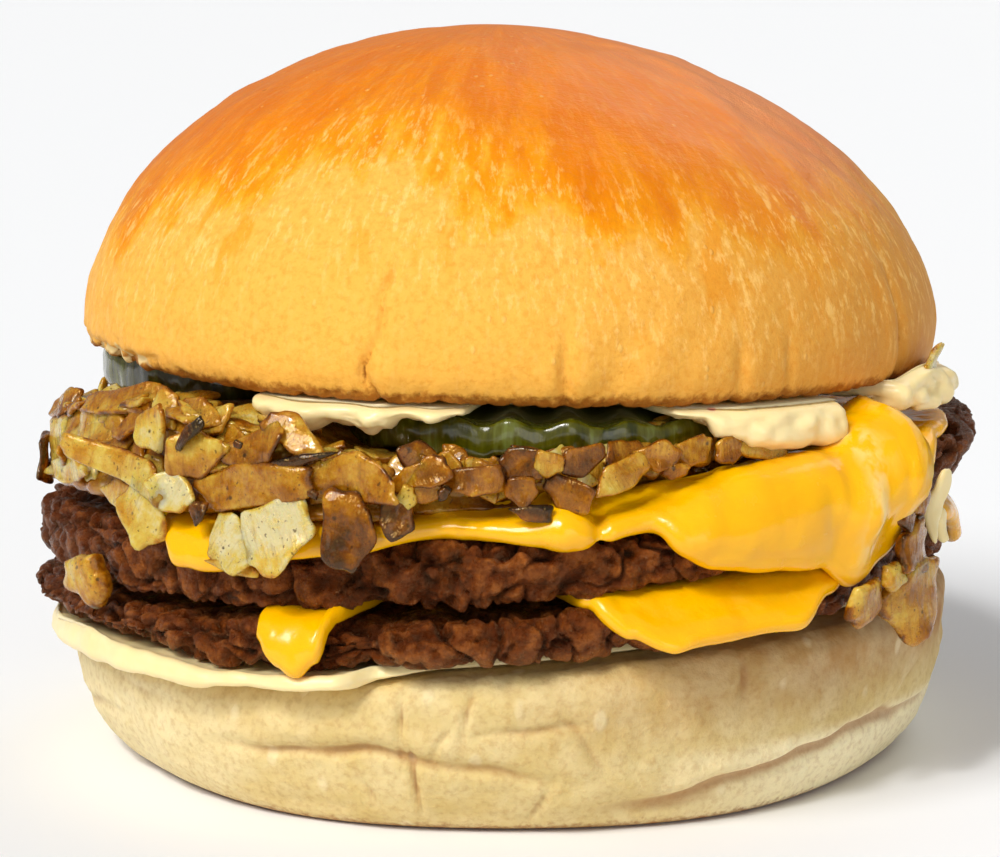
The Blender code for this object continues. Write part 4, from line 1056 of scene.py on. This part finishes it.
def lower_sauce_grid():
    """The sauce on the heel: rings from its middle out to its lip and back, joined by smooth curves."""
    azimuth = columns(480)
    edge = around(azimuth, LOWER_SAUCE_RIM)
    lip = smooth_step(54.0, 57.0, edge)
    radius = heel_radius()
    patty_edge = around(azimuth, LOWER_PATTY_RIM)
    under = rising(HEEL_TOP, GAP)
    over = rising(LOWER_PATTY_BOTTOM, -GAP)
    lift = around(azimuth, LOWER_PATTY_LIFT)
    sag = lip * (0.5 + 0.5 * noise(polar(58.0, azimuth, 0.0), 8.0, 51)) * smooth_step(2.2, 0.4, lift)
    hanging = rising(HEEL_TOP, GAP - sag)
    rings = [
        polar(0.0, azimuth, under),
        polar(40.0, azimuth, under),
        polar(np.minimum(radius - 2.9, edge - 1.6), azimuth, under),
        polar(np.minimum(radius + 0.4, edge - 1.4), azimuth, hanging),
        polar(edge - 0.5, azimuth, hanging),
        polar(edge + 0.3, azimuth, rising(HEEL_TOP, GAP + 0.3 + 0.45 * lift)),
        polar(np.minimum(edge - 0.6, patty_edge + 0.8), azimuth,
              rising(LOWER_PATTY_BOTTOM, 0.2 + 0.9 * lift)),
        polar(np.minimum(edge - 1.8, patty_edge - PATTY_CORNER), azimuth,
              rising(LOWER_PATTY_BOTTOM, 0.8 * lift - GAP)),
        polar(40.0, azimuth, over),
        polar(0.0, azimuth, over),
    ]
    grid = splined(rings, (2, 4, 5, 6, 8, 8, 5, 4, 2))
    return pushed(grid, smooth_step(52.0, 55.0, from_axis(grid)) * 0.25 * fractal(grid, 5.0, 53))


def hung_ring(azimuth, radius, drop):
    """A ring just under the crown's cut face, lowered by a drop at each azimuth."""
    return polar(radius, azimuth, lambda x: tilted(CROWN_FLOOR, x) - GAP - drop)


def upper_sauce_grid():
    """The sauce under the crown: a thin film whose rim swells into drips, through rings of points."""
    azimuth = columns(560)
    edge = around(azimuth, UPPER_SAUCE_RIM)
    creep = around(azimuth, UPPER_SAUCE_CREEP)
    lifted = smooth_step(0.0, 1.0, creep)
    depth = 0.8 + around(azimuth, UPPER_SAUCE_DRIP) + creep
    root = np.minimum(edge - 4.0, 51.0) * (1.0 - lifted) + (edge - 2.2) * lifted
    rings = [
        polar(0.0, azimuth, rising(CROWN_FLOOR, -1.1)),
        polar(edge - 7.0, azimuth, rising(CROWN_FLOOR, -1.1)),
        *(hung_ring(azimuth, edge - inset, depth * share - creep) for inset, share in SAUCE_SECTION),
        hung_ring(azimuth, root, 0.03 * depth - creep),
        hung_ring(azimuth, np.minimum(edge - 5.0, 50.0), 0.0),
        polar(0.0, azimuth, rising(CROWN_FLOOR, -0.3)),
    ]
    grid = splined(rings, (2, 4, 5, 5, 5, 5, 5, 5, 5, 4, 3, 2))
    below = tilted(CROWN_FLOOR, grid[..., 0]) + creep - grid[..., 2]
    rough = (1.0 + lifted) * smooth_step(44.0, 50.0, from_axis(grid)) * smooth_step(0.6, 1.6, below)
    return pushed(grid, rough * (0.6 * fractal(grid, 4.5, 61) + 0.4 * noise(grid, 2.2, 63)))


def pickle_grid(centre, half_size, seed):
    """An oval slice with a wavy cut: a flat oval whose height follows a cosine of x, with a round rim."""
    turn = np.arange(360) * 2.0 * math.pi / 360
    bend = np.linspace(0.0, math.pi, 11)[1:-1]
    inner = np.linspace(0.0, PICKLE_FLAT, 20)
    share = np.concatenate([inner, PICKLE_FLAT + (1.0 - PICKLE_FLAT) * np.sin(bend), inner[::-1]])[:, None]
    level = np.concatenate([np.zeros(20), 0.5 - 0.5 * np.cos(bend), np.ones(20)])[:, None]
    x = centre[0] + share * half_size[0] * np.sin(turn)
    y = centre[1] - share * half_size[1] * np.cos(turn)
    wave = np.cos(2.0 * math.pi * x / CRINKLE_PITCH)
    top = tilted(CROWN_FLOOR, x) - PICKLE_DEPTH
    z = PICKLE_BOTTOM + (top - PICKLE_BOTTOM) * level + CRINKLE_DEPTH * wave
    grid = np.stack([x, y, z], axis=-1)
    push = smooth_step(0.8, PICKLE_FLAT, share) * (0.15 * wave - 0.1 + 0.25 * fractal(grid, 4.0, seed))
    return pushed(grid, push), {"flesh": smooth_step(0.97, 0.88, share)}


def onion_core_grid():
    """The body of the onion heap: rings that rise from the cheese to the crest, roughened by round lumps,
    with painted shade in the hollows between them.
    """
    azimuth = columns(480)
    turned = signed(azimuth)
    hollow = smooth_step(-14.0, -8.0, turned) * smooth_step(30.0, 16.0, turned)
    edge = around(azimuth, ONION_RIM) - 2.4 - 3.0 * hollow
    crest = around(azimuth, ONION_TOP) - 0.6

    def level(share):
        """Height at a share of the way from the cheese to the crest."""
        def height(x):
            foot = tilted(ONION_BOTTOM, x)
            return np.minimum(foot + share * (crest - foot), crest)
        return height

    rings = [
        polar(0.0, azimuth, level(0.0)),
        polar(np.minimum(24.0, edge - 7.0), azimuth, level(0.0)),
        polar(edge - 1.0, azimuth, level(0.02)),
        polar(edge, azimuth, level(0.4)),
        polar(edge - 1.2, azimuth, level(0.85)),
        polar(edge - 6.0, azimuth, level(1.0)),
        polar(0.0, azimuth, ONION_FLOOR),
    ]
    grid = splined(rings, (2, 6, 8, 8, 14, 12))
    crag = 0.6 * lumps(grid, 5.0, 71) + 0.4 * lumps(grid, 2.4, 73)
    rough = smooth_step(edge - 14.0, edge - 4.0, from_axis(grid))
    # Painted shade: the char colour laid in the hollows between the lumps, where they are lowest.
    masks = {"char": 0.6 * smooth_step(0.6, 0.4, crag), "browning": 0.62 + 0.3 * noise(grid, 6.0, 75),
             "vein": 0.0, "run": 0.0}
    return pushed(grid, rough * 2.0 * (crag - 0.75)), masks


def cut_outlines(count, sides, seed, softness):
    """Outlines of cut pieces, from -1 to 1 both ways: straight runs between uneven corners.

    Softness is how often each point is averaged with its neighbours, which rounds the corners.
    """
    draw = np.random.default_rng(seed)
    corner = 2.0 * math.pi * (np.arange(CORNERS) + draw.uniform(-0.3, 0.3, (count, CORNERS))) / CORNERS
    corner += draw.uniform(0.0, 2.0 * math.pi, (count, 1))
    reach = draw.uniform(0.7, 1.1, (count, CORNERS))
    place = np.arange(sides) * CORNERS / sides
    before = place.astype(int)
    share = place - before
    after = (before + 1) % CORNERS
    outline = []
    for wave in (np.cos, np.sin):
        value = reach * wave(corner)
        value = value[:, before] * (1.0 - share) + value[:, after] * share
        value = value + 0.05 * np.cos(7.0 * place + value) * np.sin(3.1 * place)
        for _ in range(softness):
            value = 0.5 * value + 0.25 * (np.roll(value, 1, axis=1) + np.roll(value, -1, axis=1))
        low = value.min(axis=1, keepdims=True)
        high = value.max(axis=1, keepdims=True)
        outline.append((2.0 * value - low - high) / (high - low))
    return outline


def plate_section(flat_share):
    """A plate's rings from the middle of one face over a round rim to the middle of the other.

    Gives each ring's share of the outline, and its depth from -0.5 to 0.5.
    """
    rim = np.linspace(-0.5 * math.pi, 0.5 * math.pi, RIM_STEPS)[None, 1:-1, None]
    inner = flat_share * np.linspace(0.0, 1.0, PIECE_RINGS)[None, :, None]
    rounded = flat_share + (1.0 - flat_share) * np.cos(rim)
    face = 0.0 * inner
    share = np.concatenate([inner, rounded, inner[:, ::-1]], axis=1)
    depth = np.concatenate([face - 0.5, 0.0 * rounded + 0.5 * np.sin(rim), face + 0.5], axis=1)
    return share, depth


def facing(azimuth, lean):
    """Directions outwards, sideways and upwards on the side of the burger, leaning back by an angle."""
    bearing = np.radians(azimuth)
    tilt = np.radians(lean)
    outwards = stacked(np.sin(bearing) * np.cos(tilt), -np.cos(bearing) * np.cos(tilt), np.sin(tilt))
    sideways = stacked(np.cos(bearing), np.sin(bearing), 0.0 * bearing)
    return outwards, sideways, np.cross(outwards, sideways)


def petal_grids(table, thickness, seed, softness=1):
    """Cut onion pieces as bowed plates with thin round rims, one grid each, and their masks.

    A cut outline is filled by rings that shrink to its middle, on an outer and an inner face. The plate
    bows back with the square of its width, curls at its ends, and ripples with noise.
    """
    azimuth, radius, height, width, length, roll, lean, browning, char = (
        np.array(column, dtype=float)[:, None, None] for column in zip(*table))
    outlines = cut_outlines(len(table), PIECE_SIDES, seed, softness)
    across_outline, along_outline = (side[:, None] for side in outlines)
    narrowest = np.minimum(width, length)
    thick = np.minimum(thickness, THICKEST * narrowest)
    share, depth = plate_section(1.0 - thick / narrowest)
    across = 0.5 * width * across_outline * share
    along = 0.5 * length * along_outline * share
    spin = np.radians(roll)
    u = across * np.cos(spin) - along * np.sin(spin)
    v = across * np.sin(spin) + along * np.cos(spin)
    flat = stacked(across + 40.0 * azimuth, along, height + seed)
    bow = -0.5 * u * u / radius + 0.045 * np.cos(5.0 * azimuth + height) * (across ** 2 - along ** 2)
    ripple = 0.75 * noise(flat, 4.0, seed) + 0.2 * noise(flat, 1.5, seed + 1)
    swing = np.radians(26.0 * np.sin(12.9 * azimuth + 4.1 * height))
    out = (np.clip(bow, -1.6, 1.6) + (0.35 + 0.65 * share ** 2) * ripple + depth * thick
           + 0.4 * u * np.tan(swing))
    outwards, sideways, upwards = facing(azimuth, lean)
    grids = polar(radius, azimuth, height) + (
        sideways * u[..., None] + upwards * v[..., None] + outwards * out[..., None])
    patch = noise(flat, 3.0, seed + 2)
    reach = np.hypot(across_outline * share, along_outline * share)
    fading = 0.16 * np.sin(7.0 * azimuth + height) * along_outline * share
    masks = {
        "browning": browning + fading + 0.12 * noise(flat, 3.0, seed + 3),
        "char": char * (0.35 + 0.5 * smooth_step(0.5, 1.2, reach + 0.5 * patch) + 0.25 * patch),
        "rim": smooth_step(0.84, 1.0, share),
        "vein": across + 31.0 * height,
        "run": along,
    }
    return grids, masks


def strewn_onions(count, seed, first, last, lying):
    """Small pieces strewn by a seeded draw, in the form of the onion tables.

    They stand against the heap's side, or lie on its top.
    """
    draw = np.random.default_rng(seed)
    azimuth = first + (last - first) * (np.arange(count) + draw.random(count)) / count
    edge = around(azimuth, ONION_RIM)
    low = around(azimuth, ONION_FOOT)
    crest = np.maximum(around(azimuth, ONION_TOP), low + 1.5)
    share = draw.random(count)
    width = draw.uniform(3.4, 7.5, count)
    tones = [width, width * draw.uniform(0.5, 0.8, count), draw.uniform(-60, 60, count)]
    if lying:
        inset = 3.0 + 7.0 * share
        place = [azimuth, edge - inset, crest + 0.1 - 0.04 * inset, *tones, draw.uniform(65, 88, count)]
    else:
        place = [azimuth, edge - 1.4 - 1.4 * share, low + share * (crest - low), *tones,
                 35.0 * share + draw.uniform(-5, 10, count)]
    browning = draw.uniform(0.15, 0.6 if lying else 0.8, count)
    return np.stack([*place, browning, draw.uniform(0.05, 0.5, count)], axis=-1)


# Settings that a user would change

def colour_property(name, description, red, green, blue):
    """A colour setting whose default is given as it looks on screen."""
    return bpy.props.FloatVectorProperty(name=name, description=description, subtype="COLOR", size=3,
                                         min=0.0, max=1.0, default=linear(red, green, blue))


class BurgerSizes(bpy.types.PropertyGroup):
    """Sizes of the fillings."""

    cheese_thickness: bpy.props.FloatProperty(
        name="Lower slice", description="Thickness of the lower slice of cheese",
        default=1.6 * MILLIMETRE, min=0.5 * MILLIMETRE, subtype="DISTANCE", unit="LENGTH")
    upper_cheese_thickness: bpy.props.FloatProperty(
        name="Upper slice", description="Thickness of the upper slice of cheese",
        default=2.0 * MILLIMETRE, min=0.5 * MILLIMETRE, subtype="DISTANCE", unit="LENGTH")


class BurgerColours(bpy.types.PropertyGroup):
    """Colours of the crusts and fillings."""

    crust_top: colour_property("Crown top", "Crust at the top of the crown", 228, 124, 0)
    crust_orange: colour_property("Crown glaze", "Glazed crust above its lower edge", 236, 146, 0)
    crust_gold: colour_property("Crown gold", "Crust where the glaze thins out", 240, 166, 40)
    crust_side: colour_property("Crown side", "Pale side of the crown", 240, 178, 76)
    # Partly a browner crust and partly painted shade on the crown's right side.
    crust_tan: colour_property("Crown tan", "Browner crust of the shaded side", 206, 138, 58)
    crust_deep: colour_property("Crown drips", "Darkest patches of glaze", 206, 94, 0)
    crust_fine: colour_property("Crown grain", "Fine grain over the crust", 212, 126, 24)
    crust_speck: colour_property("Crown specks", "Pale specks on the crust", 252, 208, 124)
    # Also the colour of painted shade in the crown's creases and the heel's clefts.
    toast: colour_property("Toasted edge", "Browned edge of a cut face", 150, 84, 22)
    crumb: colour_property("Crumb", "Cut crumb of the bun", 240, 212, 150)
    heel: colour_property("Heel", "Pale crust of the heel", 213, 186, 118)
    # Also painted shade on the heel's upper right.
    heel_tan: colour_property("Heel tan", "Browner crust of the heel", 162, 108, 38)
    # Also painted light bounced from the floor onto the heel's lower right.
    heel_flour: colour_property("Heel flour", "Dusty patches on the heel", 248, 234, 190)
    beef: colour_property("Beef", "Fried beef", 80, 32, 2)
    # Lighter as painted light on the raised lumps.
    beef_light: colour_property("Beef lumps", "Raised lumps of beef", 120, 56, 12)
    # Partly painted highlight on the raised tips.
    beef_crisp: colour_property("Beef crisp", "Crisp tips of the beef", 168, 94, 36)
    # Painted shade in the clefts.
    beef_cleft: colour_property("Beef clefts", "Clefts between the lumps", 30, 10, 2)
    beef_grey: colour_property("Beef ends", "Greyer beef at the ends", 84, 44, 30)
    beef_red: colour_property("Beef red", "Redder patches of beef", 100, 34, 10)
    beef_gleam: colour_property("Beef gleam", "Tint of the greasy lights on the beef", 255, 214, 160)
    cheese: colour_property("Cheese", "Melted cheese", 252, 186, 0)
    cheese_deep: colour_property("Cheese depth", "Deeper patches of cheese", 236, 164, 0)
    # Also painted highlights on the ridges of the fold.
    cheese_skin: colour_property("Cheese skin", "Pale skin on folded cheese", 248, 216, 140)
    sauce: colour_property("Sauce", "Creamy sauce", 250, 228, 172)
    sauce_deep: colour_property("Sauce depth", "Yellower patches of sauce", 242, 212, 138)
    pepper: colour_property("Pepper", "Red flecks in the sauce", 196, 52, 24)
    pickle: colour_property("Pickle", "Skin of the gherkin", 84, 82, 2)
    pickle_dark: colour_property("Pickle dark", "Darkest streaks of the skin", 46, 50, 4)
    pickle_pale: colour_property("Pickle pale", "Pale streaks of the skin", 112, 120, 52)
    pickle_flesh: colour_property("Pickle flesh", "Wet flesh of the gherkin", 104, 110, 30)
    onion_white: colour_property("Onion white", "Softened onion that stayed pale", 228, 212, 160)
    onion_yellow: colour_property("Onion yellow", "Onion that has turned yellow", 222, 190, 84)
    onion_tan: colour_property("Onion tan", "Onion that has turned tan", 200, 146, 40)
    onion_amber: colour_property("Onion amber", "Sticky amber onion", 166, 102, 6)
    onion_brown: colour_property("Onion brown", "Deep brown onion", 116, 60, 2)
    onion_dark: colour_property("Onion dark", "Darkest onion, almost charred", 58, 26, 8)
    # Also painted shade in the hollows of the onion heap's body.
    char: colour_property("Char", "Charred rims and specks", 30, 18, 12)


def mm(length):
    """A length property in millimetres."""
    return length / MILLIMETRE


class BurgerOperator:
    """What the operators share: they work in object mode and can be undone."""

    bl_options = {"REGISTER", "UNDO"}


class BURGER_OT_heel(BurgerOperator, bpy.types.Operator):
    """Make the lower bun"""

    bl_idname = "burger.heel"
    bl_label = "Heel"

    def execute(self, context):
        grid, cleft = heel_grid()
        new_piece("heel_bun", grid, heel_look(context.scene.burger_colours), ["heel"],
                  {"cleft": cleft})
        return {"FINISHED"}


class BURGER_OT_crown(BurgerOperator, bpy.types.Operator):
    """Make the upper bun"""

    bl_idname = "burger.crown"
    bl_label = "Crown"

    def execute(self, context):
        grid, masks = crown_grid()
        new_piece("crown_bun", grid, crown_look(context.scene.burger_colours), ["crown"],
                  masks)
        return {"FINISHED"}


class BURGER_OT_patties(BurgerOperator, bpy.types.Operator):
    """Make the two patties"""

    bl_idname = "burger.patties"
    bl_label = "Patties"

    def execute(self, context):
        look = beef_look(context.scene.burger_colours)
        grid, masks = patty_grid(LOWER_PATTY_RIM, LOWER_PATTY_UNDERCUT, LOWER_PATTY_LIFT, LOWER_PATTY_BOTTOM,
                                 LOWER_PATTY_TOP, 101)
        new_piece("beef_lower", grid, look, ["patty_lower"], masks)
        grid, masks = patty_grid(UPPER_PATTY_RIM, UPPER_PATTY_UNDERCUT, UPPER_PATTY_LIFT, UPPER_PATTY_BOTTOM,
                                 UPPER_PATTY_TOP, 131)
        new_piece("beef_upper", grid, look, ["patty_upper"], masks)
        return {"FINISHED"}


class BURGER_OT_cheese(BurgerOperator, bpy.types.Operator):
    """Make the two slices of cheese"""

    bl_idname = "burger.cheese"
    bl_label = "Cheese"

    def execute(self, context):
        sizes = context.scene.burger_sizes
        look = cheese_look(context.scene.burger_colours)
        grid, masks = cheese_grid(LOWER_PATTY_RIM, LOWER_PATTY_TOP, LOWER_CHEESE_REACH,
                                  LOWER_CHEESE_STEEPNESS, mm(sizes.cheese_thickness), LEVEL, (), 41)
        new_piece("slice_lower", grid, look, ["cheese_lower"], masks)
        grid, masks = cheese_grid(UPPER_PATTY_RIM, UPPER_PATTY_TOP, UPPER_CHEESE_REACH, UPRIGHT,
                                  mm(sizes.upper_cheese_thickness), UPPER_CHEESE_FOLD, CHEESE_MARKS, 43)
        new_piece("slice_upper", grid, look, ["cheese_upper"], masks)
        return {"FINISHED"}


class BURGER_OT_sauces(BurgerOperator, bpy.types.Operator):
    """Make the sauce under the patties and under the crown"""

    bl_idname = "burger.sauces"
    bl_label = "Sauces"

    def execute(self, context):
        look = sauce_look(context.scene.burger_colours)
        new_piece("cream_lower", lower_sauce_grid(), look, ["sauce_lower"])
        new_piece("cream_upper", upper_sauce_grid(), look, ["sauce_upper"])
        grids, masks = petal_grids(SMEARS, SMEAR_THICKNESS, 99, SMEAR_SOFTNESS)
        new_piece("cream_smears", grids, look, ["sauce_lower"])
        return {"FINISHED"}


class BURGER_OT_pickles(BurgerOperator, bpy.types.Operator):
    """Make the pickle slices"""

    bl_idname = "burger.pickles"
    bl_label = "Pickles"

    def execute(self, context):
        look = pickle_look(context.scene.burger_colours)
        for order, (node, centre, half_size) in enumerate(PICKLES):
            grid, masks = pickle_grid(centre, half_size, 81 + order)
            new_piece(node.replace("pickle", "gherkin"), grid, look, [node], masks)
        return {"FINISHED"}


class BURGER_OT_onions(BurgerOperator, bpy.types.Operator):
    """Make the fried onions: the heap, its loose pieces, and those that slipped out"""

    bl_idname = "burger.onions"
    bl_label = "Onions"

    def execute(self, context):
        look = onion_look(context.scene.burger_colours)
        grid, masks = onion_core_grid()
        new_piece("onion_core", grid, look, ["onion_heap"], masks)
        pieces = np.concatenate([HEAP_ONIONS, *(strewn_onions(*row) for row in STREWN)])
        browning = pieces[:, BROWNING_COLUMN]
        for name, low, high, softness in ONION_KINDS:
            table = pieces[(browning >= low) & (browning < high)]
            grids, masks = petal_grids(table, PETAL_THICKNESS, 91, softness)
            new_piece(name, grids, look, ["onion_heap"], masks)
        grids, masks = petal_grids(RIGHT_ONIONS, SLIPPED_THICKNESS, 1112)
        new_piece("onion_slipped", grids, look, ["onion_right"], masks)
        grids, masks = petal_grids(LEFT_ONION, CAUGHT_THICKNESS, 97)
        new_piece("onion_caught", grids, look, ["onion_left"], masks)
        return {"FINISHED"}


def add_sun(name, azimuth, elevation, spread, strength, colour):
    """Soft light from far away: a wide disc of sky at an azimuth and elevation, in degrees."""
    data = bpy.data.lights.new(name, "SUN")
    data.angle = math.radians(spread)
    data.energy = strength
    data.color = colour
    lamp = bpy.data.objects.new(name, data)
    lamp.rotation_euler = (math.radians(90.0 - elevation), 0.0, math.radians(azimuth))
    bpy.context.scene.collection.objects.link(lamp)


class BURGER_OT_stage(BurgerOperator, bpy.types.Operator):
    """Make the floor, the lights and the camera"""

    bl_idname = "burger.stage"
    bl_label = "Stage"

    def execute(self, context):
        scene = context.scene
        scene.view_settings.view_transform = "Standard"
        mesh = bpy.data.meshes.new("floor")
        half = FLOOR_HALF_SIZE
        mesh.from_pydata([(-half, -half, 0.0), (half, -half, 0.0), (half, half, 0.0), (-half, half, 0.0)],
                         [], [(0, 1, 2, 3)])
        floor = bpy.data.objects.new("floor", mesh)
        scene.collection.objects.link(floor)
        look, graph, shader = new_material("pale_floor", 0.8)
        shader["Base Color"].default_value = shade(FLOOR_COLOUR)
        mesh.materials.append(look)
        world = bpy.data.worlds.new("studio")
        world.use_nodes = True
        sky = world.node_tree.nodes["Background"].inputs
        sky["Color"].default_value = shade(SKY_COLOUR)
        sky["Strength"].default_value = SKY_STRENGTH
        scene.world = world
        for row in SUNS:
            add_sun(*row)
        lens = bpy.data.cameras.new("camera")
        lens.lens = FOCAL_LENGTH
        lens.sensor_width = SENSOR_WIDTH
        camera = bpy.data.objects.new("camera", lens)
        camera.location = CAMERA_PLACE
        camera.rotation_euler = (math.radians(90.0 - CAMERA_DIP), 0.0, 0.0)
        scene.collection.objects.link(camera)
        scene.camera = camera
        return {"FINISHED"}


class BURGER_PT_panel(bpy.types.Panel):
    """The burger's settings and its pieces"""

    bl_idname = "BURGER_PT_panel"
    bl_label = "Double cheeseburger"
    bl_space_type = "VIEW_3D"
    bl_region_type = "UI"
    bl_category = "Burger"

    def draw(self, context):
        for settings in (context.scene.burger_sizes, context.scene.burger_colours):
            box = self.layout.box()
            for key in settings.__annotations__:
                box.prop(settings, key)
        for operator in OPERATORS:
            self.layout.operator(operator.bl_idname)


OPERATORS = (BURGER_OT_heel, BURGER_OT_patties, BURGER_OT_cheese, BURGER_OT_sauces, BURGER_OT_pickles,
             BURGER_OT_onions, BURGER_OT_crown, BURGER_OT_stage)
CLASSES = (BurgerSizes, BurgerColours, *OPERATORS, BURGER_PT_panel)


def register():
    """Add the settings, the operators and the panel to Blender."""
    for kind in CLASSES:
        bpy.utils.register_class(kind)
    bpy.types.Scene.burger_sizes = bpy.props.PointerProperty(type=BurgerSizes)
    bpy.types.Scene.burger_colours = bpy.props.PointerProperty(type=BurgerColours)


def unregister():
    """Take away what register added."""
    del bpy.types.Scene.burger_colours
    del bpy.types.Scene.burger_sizes
    for kind in reversed(CLASSES):
        bpy.utils.unregister_class(kind)


def main():
    """Make every piece in order."""
    register()
    for operator in OPERATORS:
        group, name = operator.bl_idname.split(".")
        getattr(getattr(bpy.ops, group), name)()


if __name__ == "__main__":
    main()
